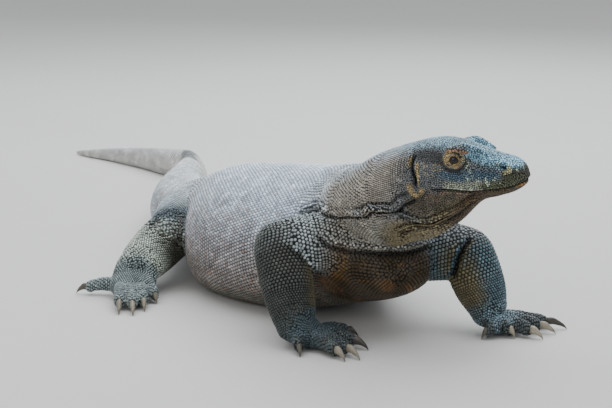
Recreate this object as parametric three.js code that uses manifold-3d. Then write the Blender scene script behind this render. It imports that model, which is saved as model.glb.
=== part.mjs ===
// A komodo dragon at rest: belly and tail on the floor, chest propped on the forelegs, head raised
// and turned to its left. Millimetres, +Z up, +X forward along the trunk, +Y to the animal's left.
// The origin is on the flat patch that the belly rests on.
import * as THREE from 'three';
import { mergeVertices } from 'three/addons/utils/BufferGeometryUtils.js';
import Module from 'manifold-3d';

const wasm = await Module();
wasm.setup();

// ---------------------------------------------------------------- driving dimensions

const GAP = 0.4;             // clearance between neighbouring pieces
const FLOOR = 0;             // whatever rests is flattened at this height
const BODY_SIDES = 22;       // facets round the trunk, neck, tail and head
const LIMB_SIDES = 12;
const DIGIT_SIDES = 7;
const CLAW_SIDES = 5;

const COLOURS = {
  trunk: 0x76716a, neck: 0x5b564d, tail: 0x7d766b, leg: 0x39424a,
  head: 0x44525a, jaw: 0x6b5f47, claw: 0x2b2825, eye: 0x1a1310,
};
const ROUGHNESS = { hide: 0.75, claw: 0.4, eye: 0.1 };

// Stations of the tail and trunk, from the tail's tip forward: centre, half width, height above the
// centre (rise) and below it (drop), and the exponents of the section's upper and lower half, where
// 2 is an ellipse, more is squarer and less is keeled.
const TRUNK = [
  { x: -1445, y: 224, z: 5,   half: 2.5, rise: 3,   drop: 4,   top: 2.0, under: 2.0 }, // tail tip
  { x: -1392, y: 232, z: 10,  half: 8,   rise: 9,   drop: 11,  top: 2.0, under: 2.0 },
  { x: -1290, y: 266, z: 17,  half: 14,  rise: 20,  drop: 19,  top: 1.9, under: 2.0 },
  { x: -1130, y: 300, z: 26,  half: 22,  rise: 32,  drop: 29,  top: 1.8, under: 2.0 },
  { x: -960,  y: 306, z: 32,  half: 31,  rise: 46,  drop: 37,  top: 1.6, under: 2.1 }, // tail's bend
  { x: -760,  y: 206, z: 41,  half: 44,  rise: 60,  drop: 48,  top: 1.6, under: 2.2 },
  { x: -560,  y: 92,  z: 51,  half: 62,  rise: 68,  drop: 60,  top: 1.8, under: 2.2 }, // tail's root
  { x: -400,  y: 44,  z: 60,  half: 84,  rise: 72,  drop: 72,  top: 2.0, under: 2.2 }, // pelvis
  { x: -260,  y: 34,  z: 76,  half: 98,  rise: 94,  drop: 92,  top: 2.0, under: 2.3 }, // loin
  { x: -150,  y: 30,  z: 92,  half: 134, rise: 112, drop: 109, top: 2.0, under: 2.8 },
  { x: -30,   y: 30,  z: 102, half: 177, rise: 121, drop: 118, top: 2.0, under: 3.0 }, // belly
  { x: 120,   y: 32,  z: 120, half: 164, rise: 124, drop: 124, top: 2.0, under: 2.7 }, // ribs
  { x: 255,   y: 32,  z: 148, half: 116, rise: 118, drop: 114, top: 2.0, under: 2.2 }, // shoulders
  { x: 330,   y: 26,  z: 132, half: 96,  rise: 92,  drop: 76,  top: 2.0, under: 2.1 }, // breast
  { x: 370,   y: 20,  z: 122, half: 70,  rise: 58,  drop: 48,  top: 2.0, under: 2.0 },
  { x: 388,   y: 17,  z: 117, half: 22,  rise: 18,  drop: 16,  top: 2.0, under: 2.0 },
];

// The neck, out of the top of the chest.
const NECK = [
  { x: 215, y: 34,  z: 196, half: 84, rise: 60, drop: 60, top: 2.0, under: 1.9 },
  { x: 285, y: 24,  z: 206, half: 86, rise: 71, drop: 62, top: 2.0, under: 1.8 },
  { x: 355, y: 4,   z: 224, half: 79, rise: 74, drop: 64, top: 2.0, under: 1.8 },
  { x: 420, y: -14, z: 252, half: 68, rise: 73, drop: 84, top: 2.0, under: 1.7 },
  { x: 470, y: -9,  z: 303, half: 58, rise: 41, drop: 117, top: 2.2, under: 1.6 }, // nape
];

// The head: the point between its ears, how far it is turned, and its stations ahead of that point.
const HEAD = { x: 484, y: -7, z: 305, turn: 42 };
const SKULL = [
  { ahead: 18,  half: 52, rise: 48, drop: 110, top: 2.4, under: 1.6 },  // cheeks
  { ahead: 45,  half: 47, rise: 50, drop: 94,  top: 2.6, under: 1.7 },
  { ahead: 70,  half: 42, rise: 46, drop: 73,  top: 2.7, under: 1.8 },  // brows
  { ahead: 96,  half: 36, rise: 38, drop: 46,  top: 2.6, under: 2.0 },
  { ahead: 121, half: 32, rise: 31, drop: 37,  top: 2.4, under: 2.2 },
  { ahead: 141, half: 29, rise: 27, drop: 30,  top: 2.3, under: 2.2 },  // nostrils
  { ahead: 154, half: 24, rise: 21, drop: 23,  top: 2.2, under: 2.1 },
  { ahead: 162, half: 15, rise: 12, drop: 15,  top: 2.0, under: 2.0 },
  { ahead: 165, half: 4,  rise: 3,  drop: 6,   top: 2.0, under: 2.0 },  // snout
];
const MOUTH = { corner: 22, height: -27, slope: 3.5 };       // the lips' plane, in the head's frame
const EYE = { ahead: 58, out: 36, up: 22, radius: 10.5 };
const BROW = { from: [38, 34, 33], middle: [76, 35, 39], to: [108, 28, 31], half: 8 };
const EAR = { ahead: 0, out: 54, up: 5, depth: 9, half: 3.2, tall: 19, lean: 8 };
const NOSTRIL = { ahead: 133, out: 28, up: 14, radius: 4.5 };

// Where the trunk and tail, and the neck and head, are parted, counted in rings from the first.
const RINGS_PER_STATION = 2;
const TRUNK_CUTS = {
  tail_end: [0, 6], tail_middle: [6, 10], tail_root: [10, 13], pelvis: [13, 17],
  belly: [17, 22], chest: [22, 30],
};
const NECK_CUTS = { neck: [0, 8], head: [8, 26] };

// Legs: joints from the trunk outwards, half thickness at the root, the hinge and the wrist, and
// where each claw's tip touches the floor, first digit first.
const LEGS = {
  right_fore: {
    side: -1, root: [300, -24, 164], hinge: [258, -129, 147], wrist: [322, -138, 42],
    thick: [48, 42, 36], palm: [350, -112], palmHalf: 33,
    tips: [[330, -24], [404, -50], [443, -90], [438, -114], [382, -162]],
  },
  left_fore: {
    side: 1, root: [300, 74, 134], hinge: [376, 158, 129], wrist: [415, 173, 44],
    thick: [54, 43, 35], palm: [429, 188], palmHalf: 31,
    tips: [[446, 140], [469, 190], [496, 226], [480, 264], [466, 298]],
  },
  right_hind: {
    side: -1, root: [-318, -4, 84], hinge: [-151, -126, 89], wrist: [-98, -222, 48],
    thick: [56, 44, 38], palm: [-62, -250], palmHalf: 42,
    tips: [[-16, -222], [20, -262], [34, -290], [16, -308], [-152, -316]],
  },
  left_hind: {
    side: 1, root: [-318, 96, 84], hinge: [-228, 208, 89], wrist: [-292, 292, 48],
    thick: [56, 44, 38], palm: [-256, 318], palmHalf: 42,
    tips: [[-172, 306], [-140, 332], [-122, 360], [-134, 388], [-318, 398]],
  },
};
const DIGIT = { half: 10.5, arch: 24, end: 14, share: 0.72 };  // share of the way to the tip that is flesh
const CLAW = { half: 4.4, height: 6.2 };
const KNUCKLES = 0.22;       // from one knuckle to the next, as a share of the palm's width

// ---------------------------------------------------------------- lofts

const UP = new THREE.Vector3(0, 0, 1);
const clamp = (value, low, high) => Math.min(Math.max(value, low), high);
const power = (value, exponent) => Math.sign(value) * Math.abs(value) ** exponent;

function catmullRom(a, b, c, d, t) {
  return b + 0.5 * t * (c - a + t * (2 * a - 5 * b + 4 * c - d + t * (3 * (b - c) + d - a)));
}

// A station between two others, with every number on a smooth curve through the list.
function stationAt(stations, place) {
  const last = stations.length - 1;
  const index = clamp(Math.floor(place), 0, last - 1);
  const near = [-1, 0, 1, 2].map((k) => stations[clamp(index + k, 0, last)]);
  const mixed = {};
  for (const key of Object.keys(near[1])) {
    mixed[key] = catmullRom(...near.map((station) => station[key]), place - index);
  }
  return mixed;
}

// The direction ahead, to the left and up at a station. An upright loft keeps its sections vertical.
function frameAt(stations, place, facing) {
  const last = stations.length - 1;
  const step = 0.02;
  const before = stationAt(stations, Math.max(place - step, 0));
  const after = stationAt(stations, Math.min(place + step, last));
  const rise = facing ? after.z - before.z : 0;
  const ahead = new THREE.Vector3(after.x - before.x, after.y - before.y, rise).normalize();
  const left = new THREE.Vector3().crossVectors(facing || UP, ahead).normalize();
  return { ahead, left, up: new THREE.Vector3().crossVectors(ahead, left) };
}

// One closed ring of points round a station, flattened where it reaches the floor.
function ringAt(stations, place, { sides, facing, grow = 0 }, shift) {
  const s = stationAt(stations, place);
  const { ahead, left, up } = frameAt(stations, place, facing);
  const ring = [];
  for (let k = 0; k < sides; k++) {
    const angle = (2 * Math.PI * (k + 0.5)) / sides;
    const exponent = 2 / (Math.sin(angle) > 0 ? s.top : s.under);
    const reach = Math.sin(angle) > 0 ? s.rise : s.drop;
    const point = new THREE.Vector3(s.x, s.y, s.z)
      .addScaledVector(left, power(Math.cos(angle), exponent) * (s.half + grow))
      .addScaledVector(up, power(Math.sin(angle), exponent) * (reach + grow))
      .addScaledVector(ahead, shift);
    point.z = Math.max(point.z, FLOOR);
    ring.push(point);
  }
  return ring;
}

// A closed solid through the stations. The options are its sides, the rings per station, the first
// and last ring, the way its sections face, how much it grows, and how much its ends are trimmed.
function loft(stations, options) {
  const per = options.perStation || 1;
  const [first, last] = options.rings || [0, (stations.length - 1) * per];
  const { sides, trim = 0 } = options;
  const rings = [];
  for (let k = first; k <= last; k++) {
    const shift = k === first ? trim : k === last ? -trim : 0;
    rings.push(ringAt(stations, k / per, options, shift));
  }
  const points = rings.flat();
  const faces = [];
  const wrap = (k) => (k + 1) % sides;
  for (let r = 0; r < rings.length - 1; r++) {
    for (let k = 0; k < sides; k++) {
      const a = r * sides + k;
      const b = r * sides + wrap(k);
      faces.push(a, b, b + sides, a, b + sides, a + sides);
    }
  }
  const addCap = (ring, start, reversed) => {
    const middle = new THREE.Vector3();
    ring.forEach((point) => middle.addScaledVector(point, 1 / sides));
    points.push(middle);
    for (let k = 0; k < sides; k++) {
      const pair = reversed ? [start + k, start + wrap(k)] : [start + wrap(k), start + k];
      faces.push(points.length - 1, ...pair);
    }
  };
  addCap(rings[0], 0, false);
  addCap(rings[rings.length - 1], (rings.length - 1) * sides, true);
  const numbers = points.flatMap((point) => point.toArray());
  const geometry = new THREE.BufferGeometry();
  geometry.setAttribute('position', new THREE.Float32BufferAttribute(numbers, 3));
  geometry.setIndex(faces);
  return solidOf(geometry);
}

// ---------------------------------------------------------------- joining and cutting

function solidOf(geometry) {
  const bare = geometry.clone();
  bare.deleteAttribute('normal');
  bare.deleteAttribute('uv');
  const merged = mergeVertices(bare, 1e-3);
  return new wasm.Manifold(new wasm.Mesh({
    numProp: 3,
    vertProperties: new Float32Array(merged.attributes.position.array),
    triVerts: new Uint32Array(merged.index.array),
  }));
}

function geometryOf(solid) {
  const { vertProperties, triVerts } = solid.getMesh();
  const geometry = new THREE.BufferGeometry();
  geometry.setAttribute('position', new THREE.Float32BufferAttribute(vertProperties, 3));
  geometry.setIndex(new THREE.BufferAttribute(triVerts, 1));
  geometry.computeVertexNormals();
  return geometry;
}

// Everything on the far side of a plane, as a large block. It starts short of the plane by half a gap.
const BLOCK = 900;
function beyond(point, normal) {
  const block = new THREE.BoxGeometry(BLOCK, BLOCK, BLOCK).translate(0, 0, (BLOCK - GAP) / 2);
  block.applyQuaternion(new THREE.Quaternion().setFromUnitVectors(UP, normal));
  return solidOf(block.translate(point.x, point.y, point.z));
}

// ---------------------------------------------------------------- trunk, tail, neck and head

const dragon = new THREE.Group();

function addPiece(name, solid, colour, roughness = ROUGHNESS.hide) {
  const material = new THREE.MeshStandardMaterial({ color: COLOURS[colour], roughness, metalness: 0 });
  const mesh = new THREE.Mesh(geometryOf(solid), material);
  mesh.name = name;
  dragon.add(mesh);
}

const turn = THREE.MathUtils.degToRad(HEAD.turn);
const headAhead = new THREE.Vector3(Math.cos(turn), Math.sin(turn), 0);
const headLeft = new THREE.Vector3(-Math.sin(turn), Math.cos(turn), 0);

// A point in the head's own frame, as a point of the model.
function headPoint(ahead, left, up) {
  return new THREE.Vector3(HEAD.x, HEAD.y, HEAD.z)
    .addScaledVector(headAhead, ahead)
    .addScaledVector(headLeft, left)
    .addScaledVector(UP, up);
}

const skullStations = SKULL.map(({ ahead, ...section }) => {
  const { x, y, z } = headPoint(ahead, 0, 0);
  return { x, y, z, ...section };
});
const neckStations = [...NECK, ...skullStations];
const bodyShape = { sides: BODY_SIDES, perStation: RINGS_PER_STATION };
const grownTrunk = loft(TRUNK, { ...bodyShape, grow: GAP });
const grownNeck = loft(neckStations, { ...bodyShape, grow: GAP });

function lengthsOf(stations, cuts) {
  return Object.entries(cuts).map(([name, rings]) =>
    [name, loft(stations, { ...bodyShape, rings, trim: GAP / 2 })]);
}

// A ball stretched along the head's own axes, placed in its frame.
function headBall({ ahead, out, up }, side, stretch, lean = 0) {
  const place = headPoint(ahead, side * out, up);
  const ball = new THREE.SphereGeometry(1, 8, 6).scale(...stretch);
  ball.rotateY(THREE.MathUtils.degToRad(-lean)).rotateZ(turn);
  return solidOf(ball.translate(place.x, place.y, place.z));
}

const round = (radius) => [radius, radius, radius];

// A low ridge over the eye.
function brow(side) {
  const row = ([ahead, out, up], half) => {
    const { x, y, z } = headPoint(ahead, side * out, up);
    return { x, y, z, half, rise: half * 0.8, drop: half, top: 2, under: 2 };
  };
  const { from, middle, to, half } = BROW;
  return loft([row(from, half * 0.3), row(middle, half), row(to, half * 0.3)],
    { sides: DIGIT_SIDES, perStation: 2 });
}

function addHead(whole) {
  const slope = THREE.MathUtils.degToRad(MOUTH.slope);
  const lipUp = headAhead.clone().multiplyScalar(-Math.sin(slope)).addScaledVector(UP, Math.cos(slope));
  const corner = headPoint(MOUTH.corner, 0, MOUTH.height);
  const jawSpace = beyond(corner, lipUp.clone().negate()).intersect(beyond(corner, headAhead));
  let skull = whole.subtract(jawSpace);
  for (const [name, side] of [['eye_left', 1], ['eye_right', -1]]) {
      skull = skull.add(brow(side))
      .subtract(headBall(EYE, side, round(EYE.radius + GAP)))
      .subtract(headBall(EAR, side, [EAR.half, EAR.depth, EAR.tall], EAR.lean))
      .subtract(headBall(NOSTRIL, side, round(NOSTRIL.radius)));
    addPiece(name, headBall(EYE, side, round(EYE.radius)), 'eye', ROUGHNESS.eye);
  }
  addPiece('head', skull, 'head');
  addPiece('lower_jaw', whole
    .subtract(beyond(corner, lipUp))
    .subtract(beyond(corner, headAhead.clone().negate())), 'jaw');
}

for (const [name, solid] of lengthsOf(TRUNK, TRUNK_CUTS)) {
  addPiece(name, solid, name.startsWith('tail') ? 'tail' : 'trunk');
}
for (const [name, solid] of lengthsOf(neckStations, NECK_CUTS)) {
  if (name === 'head') addHead(solid);
  else addPiece(name, solid.subtract(grownTrunk), 'neck');
}

// ---------------------------------------------------------------- legs

const section = ({ x, y, z }, half, height) =>
  ({ x, y, z, half, rise: height, drop: height, top: 2, under: 2 });

// A straight length of limb, from rows of its share of the way and its half thickness.
function bone(start, end, rows) {
  return rows.map(([share, half]) => section(start.clone().lerp(end, share), half, half));
}

// A digit and its claw follow one arched line from the knuckle to the claw's tip on the floor.
function digitStations(knuckle, tip, size) {
  const at = (share, z) => knuckle.clone().lerp(tip, share).setZ(z);
  const end = DIGIT.share;
  const flesh = [
    section(at(0, DIGIT.arch * 0.85), DIGIT.half * 1.1 * size, 15 * size),
    section(at(end * 0.45, DIGIT.arch * 0.85), DIGIT.half * size, 13.5 * size),
    section(at(end * 0.82, DIGIT.end + 1.5), DIGIT.half * 0.95 * size, 12.5 * size),
    section(at(end, DIGIT.end), DIGIT.half * 0.66 * size, 8.5 * size),
  ];
  const claw = [
    section(at(end, DIGIT.end), CLAW.half * size, CLAW.height * size),
    section(at(end + (1 - end) * 0.5, DIGIT.end - 1.5), CLAW.half * 0.8 * size, CLAW.height * 0.75 * size),
    section(at(end + (1 - end) * 0.85, 7), CLAW.half * 0.45 * size, CLAW.height * 0.45 * size),
    section(at(1, 1), 1, 1.5),
  ];
  return { flesh, claw };
}

// The heel, the wrist and the palm, from rows of the distance ahead of the wrist, half width, half
// height and height above the floor.
function sole(wrist, palm, thin, palmHalf) {
  const way = palm.clone().sub(wrist).setZ(0);
  const length = way.length();
  return [[-thin * 0.6, thin * 0.72, thin * 0.66, wrist.z - 9], [0, thin, thin * 0.96, wrist.z - 3],
    [length * 0.55, palmHalf * 0.98, 28, 27], [length * 0.9, palmHalf * 0.95, 23, 21.5],
    [length + 11, palmHalf * 0.6, 16, 15.5],
  ].map(([ahead, half, height, z]) =>
    section(wrist.clone().addScaledVector(way, ahead / length).setZ(z), half, height));
}

const between = (a, b, c) =>
  b.clone().sub(a).normalize().add(c.clone().sub(b).normalize()).normalize();

function addLeg(name, leg) {
  const [root, hinge, wrist] = [leg.root, leg.hinge, leg.wrist].map((place) => new THREE.Vector3(...place));
  const [atRoot, atHinge, atWrist] = leg.thick;
  const palm = new THREE.Vector3(...leg.palm, 20);
  const forward = palm.clone().sub(wrist).setZ(0).normalize();
  const hingePlane = between(root, hinge, wrist);
  const wristPlane = between(hinge, wrist, palm);

  const upper = loft(bone(root, hinge, [[-0.1, atRoot], [0.35, atRoot], [0.75, (atRoot + atHinge) / 2],
    [1, atHinge], [1.2, atHinge * 0.8], [1.32, atHinge * 0.4]]), { sides: LIMB_SIDES, facing: UP });
  const lower = loft(bone(hinge, wrist, [[-0.32, atHinge * 0.4], [-0.2, atHinge * 0.8], [0, atHinge],
    [0.4, atHinge * 1.02], [0.72, atHinge * 0.96], [1, atWrist * 0.96], [1.35, atWrist * 0.75]]),
  { sides: LIMB_SIDES, facing: forward });

  let foot = loft(sole(wrist, palm, atWrist, leg.palmHalf), { sides: LIMB_SIDES });
  const across = new THREE.Vector3().crossVectors(UP, forward).multiplyScalar(-leg.side);
  const clearances = [];
  leg.tips.forEach(([x, y], index) => {
    const tip = new THREE.Vector3(x, y, 0);
    const spread = (2 - index) * leg.palmHalf * 2 * KNUCKLES;
    const start = index === 4 ? wrist.clone().lerp(palm, 0.35) : palm.clone();
    const { flesh, claw } = digitStations(start.addScaledVector(across, spread), tip, index % 4 ? 1 : 0.9);
    foot = foot.add(loft(flesh, { sides: DIGIT_SIDES }));
    clearances.push(loft(claw, { sides: CLAW_SIDES, grow: GAP, trim: -GAP / 2 }));
    const horn = loft(claw, { sides: CLAW_SIDES, trim: GAP });
    addPiece(`${name}_claw_${index + 1}`, horn, 'claw', ROUGHNESS.claw);
  });
  for (const clearance of clearances) foot = foot.subtract(clearance);

  const body = grownTrunk.add(grownNeck);
  addPiece(`${name}_upper`, upper.subtract(beyond(hinge, hingePlane)).subtract(body), 'leg');
  addPiece(`${name}_lower`, lower
    .subtract(beyond(hinge, hingePlane.clone().negate()))
    .subtract(beyond(wrist, wristPlane))
    .subtract(body), 'leg');
  addPiece(`${name}_foot`, foot.subtract(beyond(wrist, wristPlane.clone().negate())), 'leg');
}

for (const [name, leg] of Object.entries(LEGS)) addLeg(name, leg);

export default dragon;
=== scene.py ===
"""A komodo dragon at rest: one skin over the flesh, solid scales on it, eyes and claws.

Lengths in the tables are millimetres, as in the part's source; everything that is built is in metres.
+X is forward along the trunk, +Y is the animal's left, +Z is up.
"""
import math
import bmesh
import bpy
import numpy as np
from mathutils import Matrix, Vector
from mathutils.bvhtree import BVHTree
from mathutils.kdtree import KDTree


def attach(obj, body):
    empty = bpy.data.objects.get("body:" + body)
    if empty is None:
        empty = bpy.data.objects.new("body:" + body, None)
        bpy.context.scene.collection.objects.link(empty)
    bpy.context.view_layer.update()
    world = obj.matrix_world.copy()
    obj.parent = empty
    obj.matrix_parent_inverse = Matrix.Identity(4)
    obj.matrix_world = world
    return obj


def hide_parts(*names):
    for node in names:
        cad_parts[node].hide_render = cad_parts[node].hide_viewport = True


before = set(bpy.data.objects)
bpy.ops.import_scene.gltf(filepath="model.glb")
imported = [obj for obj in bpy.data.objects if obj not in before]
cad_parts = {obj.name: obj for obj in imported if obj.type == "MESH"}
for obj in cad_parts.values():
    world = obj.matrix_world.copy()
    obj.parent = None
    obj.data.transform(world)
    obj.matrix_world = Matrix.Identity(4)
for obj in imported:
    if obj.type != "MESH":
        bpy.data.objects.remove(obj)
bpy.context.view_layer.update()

MM = 0.001
UP = np.array([0.0, 0.0, 1.0])
SEED = 20

# ---------------------------------------------------------------- the body's measures

COAT = 1.5          # how far the skin lies under the solids' surface
VOXEL = 3.0         # size of the cells that the flesh is joined with
SKIN_FACES = 188000     # the most triangles that the skin keeps
OFF_GROUND = 0.0004     # how far the skin stays above the floor, in metres

# Stations from the tail's tip forward: x, y, z, half width, rise, drop, upper and lower exponent.
TRUNK = np.array([
    [-1445, 224, 5, 2.5, 3, 4, 2.0, 2.0],
    [-1392, 232, 10, 8, 9, 11, 2.0, 2.0],
    [-1290, 266, 17, 14, 20, 19, 1.9, 2.0],
    [-1130, 300, 26, 22, 32, 29, 1.8, 2.0],
    [-960, 306, 32, 31, 46, 37, 1.6, 2.1],
    [-760, 206, 41, 44, 60, 48, 1.6, 2.2],
    [-560, 92, 51, 62, 68, 60, 1.8, 2.2],
    [-400, 44, 60, 84, 72, 72, 2.0, 2.2],
    [-260, 34, 76, 98, 94, 92, 2.0, 2.3],
    [-150, 30, 92, 134, 112, 109, 2.0, 2.8],
    [-30, 30, 102, 177, 121, 118, 2.0, 3.0],
    [120, 32, 120, 164, 124, 124, 2.0, 2.7],
    [255, 32, 148, 116, 118, 114, 2.0, 2.2],
    [330, 26, 132, 96, 92, 76, 2.0, 2.1],
    [370, 20, 122, 70, 58, 48, 2.0, 2.0],
    [388, 17, 117, 22, 18, 16, 2.0, 2.0],
])
TRUNK_PATCHES = [["tail", 6.3], ["loin", 8.6], ["belly", 11.0], ["chest", 14.9]]   # each up to a station

NECK = [
    [215, 34, 196, 84, 60, 60, 2.0, 1.9],
    [285, 24, 206, 86, 71, 62, 2.0, 1.8],
    [355, 4, 224, 79, 74, 64, 2.0, 1.8],
    [420, -14, 252, 68, 73, 84, 2.0, 1.7],
    [470, -9, 303, 58, 41, 117, 2.2, 1.6],
]

# The head's own frame: the point between the ears, turned to the left. Its stations are given as
# distance ahead, half width, rise, drop, upper and lower exponent.
HEAD_AT, HEAD_TURN = np.array([484.0, -7.0, 305.0]), math.radians(42)
SKULL = [
    [18, 52, 48, 110, 2.4, 1.6],
    [45, 47, 50, 94, 2.6, 1.7],
    [70, 42, 46, 73, 2.7, 1.8],
    [96, 36, 38, 46, 2.6, 2.0],
    [121, 32, 31, 37, 2.4, 2.2],
    [141, 29, 27, 30, 2.3, 2.2],
    [154, 24, 21, 23, 2.2, 2.1],
    [162, 15, 12, 15, 2.0, 2.0],
    [165, 4, 3, 6, 2.0, 2.0],
]
EYE = np.array([58.0, 36.0, 22.0])
EYE_RADIUS = 10.4
GAZE = np.array([0.27, 1.0, 0.02])
BROW = [[38, 34, 33, 2.4], [76, 35, 39, 8], [108, 28, 31, 2.4]]

LEGS = {
    "right_fore": dict(
        side=-1, root=[300, -24, 164], hinge=[258, -129, 147], wrist=[322, -138, 42],
        thick=[48, 42, 36], palm=[350, -112], spread=33,
        tips=[[330, -24], [404, -50], [443, -90], [438, -114], [382, -162]],
        pale=[0.15, 0.1, 0.75, 0.8, 0.25]),
    "left_fore": dict(
        side=1, root=[300, 74, 134], hinge=[376, 158, 129], wrist=[415, 173, 44],
        thick=[54, 43, 35], palm=[429, 188], spread=31,
        tips=[[446, 140], [469, 190], [496, 226], [480, 264], [466, 298]],
        pale=[0.2, 1.0, 1.0, 0.9, 0.1]),
    "right_hind": dict(
        side=-1, root=[-318, -4, 84], hinge=[-151, -126, 89], wrist=[-98, -222, 48],
        thick=[56, 44, 38], palm=[-62, -250], spread=42,
        tips=[[-16, -222], [20, -262], [34, -290], [16, -308], [-152, -316]],
        pale=[0.6, 0.7, 0.7, 0.6, 0.2]),
    "left_hind": dict(
        side=1, root=[-318, 96, 84], hinge=[-228, 208, 89], wrist=[-292, 292, 48],
        thick=[56, 44, 38], palm=[-256, 318], spread=42,
        tips=[[-172, 306], [-140, 332], [-122, 360], [-134, 388], [-318, 398]],
        pale=[0.6, 0.7, 0.7, 0.6, 0.2]),
}
DIGIT_HALF, DIGIT_ARCH, DIGIT_END, DIGIT_SHARE = 10.5, 24, 14, 0.72
CLAW_HALF, CLAW_HEIGHT = 5.2, 7.2
KNUCKLES = 0.22     # from one knuckle to the next, as a share of the palm's width
# Stations of a digit: share of the way to the claw, height over the ground, half width, half height.
DIGIT_ROWS = [[0, DIGIT_ARCH * 0.85, DIGIT_HALF * 1.1, 15], [0.45, DIGIT_ARCH * 0.85, DIGIT_HALF, 13.5],
              [0.68, DIGIT_END + 4, DIGIT_HALF * 0.88, 12], [0.86, DIGIT_END + 1.5, DIGIT_HALF * 0.97, 12.5],
              [1, DIGIT_END, DIGIT_HALF * 0.66, 8.5]]
# Stations of a claw before its point: share of the way from knuckle to point, and the same three.
CLAW_ROWS = [[DIGIT_SHARE - 0.04, DIGIT_END, CLAW_HALF, CLAW_HEIGHT]] + [
    [DIGIT_SHARE + (1 - DIGIT_SHARE) * share, z, CLAW_HALF * half, CLAW_HEIGHT * height]
    for share, z, half, height in [[0.3, DIGIT_END + 0.5, 0.92, 0.94], [0.62, DIGIT_END - 3.2, 0.7, 0.68],
                                   [0.88, 6, 0.42, 0.4]]]


# ---------------------------------------------------------------- small mathematics

def unit(vectors):
    return vectors / np.maximum(np.linalg.norm(vectors, axis=-1, keepdims=True), 1e-12)


def smooth_step(low, high, values):
    share = np.clip((values - low) / (high - low), 0, 1)
    return share * share * (3 - 2 * share)


# Large odd numbers that scramble a cell's place into a random number.
CELL_STEPS, SEED_STEP, FIRST_MIX, SECOND_MIX = (73856093, 19349663, 83492791), 2654435, 2246822519, 3266489917


def noise(points, pitch, seed=0):
    """Smooth random numbers from 0 to 1 in space, with a cell of the given size in millimetres."""
    cell = points / (pitch * MM)
    low = np.floor(cell).astype(np.int64)
    part = cell - low
    part = part * part * (3 - 2 * part)
    total = np.zeros(len(points))
    for corner in np.ndindex(2, 2, 2):
        key = (low + corner) * np.array(CELL_STEPS) + seed * SEED_STEP
        mixed = key.sum(1) & 0xFFFFFFFF
        mixed = ((mixed ^ (mixed >> 15)) * FIRST_MIX) & 0xFFFFFFFF
        mixed = ((mixed ^ (mixed >> 13)) * SECOND_MIX) & 0xFFFFFFFF
        weight = np.prod(np.where(corner, part, 1 - part), axis=1)
        total += weight * ((mixed ^ (mixed >> 16)) & 0xFFFF) / 65535
    return total


def near_line(points, line):
    """Distance from a polyline, and the place along it counted in its points."""
    line = np.asarray(line, float)
    best = np.full(len(points), np.inf)
    place = np.zeros(len(points))
    for index, (start, end) in enumerate(zip(line[:-1], line[1:])):
        way = end - start
        share = np.clip((points - start) @ way / (way @ way), 0, 1)
        gap = np.linalg.norm(points - start - share[:, None] * way, axis=1)
        closer = gap < best
        best[closer] = gap[closer]
        place[closer] = index + share[closer]
    return best, place


def near_share(points, line, radius, edge):
    """1 within the radius of a polyline, falling to 0 over the soft edge."""
    return smooth_step(radius + edge, radius, near_line(points, line)[0])


def lengths_along(line):
    return np.concatenate([[0], np.cumsum(np.linalg.norm(np.diff(line, axis=0), axis=1))])


def at_lengths(spots, length, line):
    """The points of a line at given lengths along it."""
    return np.stack([np.interp(spots, length, line[:, axis]) for axis in range(3)], 1)


def smooth_line(line, steps):
    """A rounder copy of a polyline."""
    rows = np.asarray(line, float)
    return station_at(rows, places_on(rows, steps))


# ---------------------------------------------------------------- lofts

def station_at(rows, places):
    """Stations between the given ones, every number on a smooth curve."""
    last = len(rows) - 1
    index = np.clip(np.floor(places).astype(int), 0, last - 1)
    t = (places - index)[:, None]
    a, b, c, d = (rows[np.clip(index + k, 0, last)] for k in (-1, 0, 1, 2))
    return b + 0.5 * t * (c - a + t * (2 * a - 5 * b + 4 * c - d + t * (3 * (b - c) + d - a)))


def frames_at(rows, places, facing=None):
    """Directions ahead, left and up at places. Without a facing the sections stay vertical."""
    last = len(rows) - 1
    way = (station_at(rows, np.minimum(places + 0.02, last))
           - station_at(rows, np.maximum(places - 0.02, 0)))[:, :3]
    if facing is None:
        way[:, 2] = 0
    ahead = unit(way)
    left = unit(np.cross(UP if facing is None else facing, ahead))
    return ahead, left, np.cross(ahead, left)


def surface(rows, places, angles, facing=None, grow=0.0):
    """Points in millimetres on a loft, one row of points per place. Angle 0 is left, a quarter turn is up."""
    s = station_at(rows, places)[:, None, :]
    _, left, up = (way[:, None, :] for way in frames_at(rows, places, facing))
    high = np.sin(angles)[None] > 0
    exponent = 2 / np.where(high, s[..., 6], s[..., 7])
    reach = np.where(high, s[..., 4], s[..., 5]) + grow
    out = np.sign(np.cos(angles)) * np.abs(np.cos(angles)) ** exponent * (s[..., 3] + grow)
    rise = np.sign(np.sin(angles)) * np.abs(np.sin(angles)) ** exponent * reach
    points = s[..., :3] + out[..., None] * left + rise[..., None] * up
    points[..., 2] = np.maximum(points[..., 2], 0)
    return points


def ring_faces(count, sides, spans):
    """Four-sided faces between neighbouring rings of points, for the given number of spans."""
    r, k = np.meshgrid(np.arange(spans), np.arange(sides), indexing="ij")
    here, there, turned = r * sides, (r + 1) % count * sides, (k + 1) % sides
    return np.stack([here + k, here + turned, there + turned, there + k], -1).reshape(-1, 4).tolist()


def tube(rings):
    """A closed mesh from rings of points: its points and its faces."""
    count, sides = rings.shape[:2]
    points = np.concatenate([rings.reshape(-1, 3), rings[:1].mean(1), rings[-1:].mean(1)])
    faces = ring_faces(count, sides, count - 1)
    last = (count - 1) * sides
    for k in range(sides):
        faces.append([(k + 1) % sides, k, count * sides])
        faces.append([last + k, last + (k + 1) % sides, count * sides + 1])
    return points, faces


def places_on(rows, per):
    return np.linspace(0, len(rows) - 1, (len(rows) - 1) * per + 1)


def loft(rows, facing=None, grow=0.0, per=8, sides=48):
    rows = np.asarray(rows, float)
    places = places_on(rows, per)
    angles = 2 * np.pi * (np.arange(sides) + 0.5) / sides
    return tube(surface(rows, places, angles, facing, grow))


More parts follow.
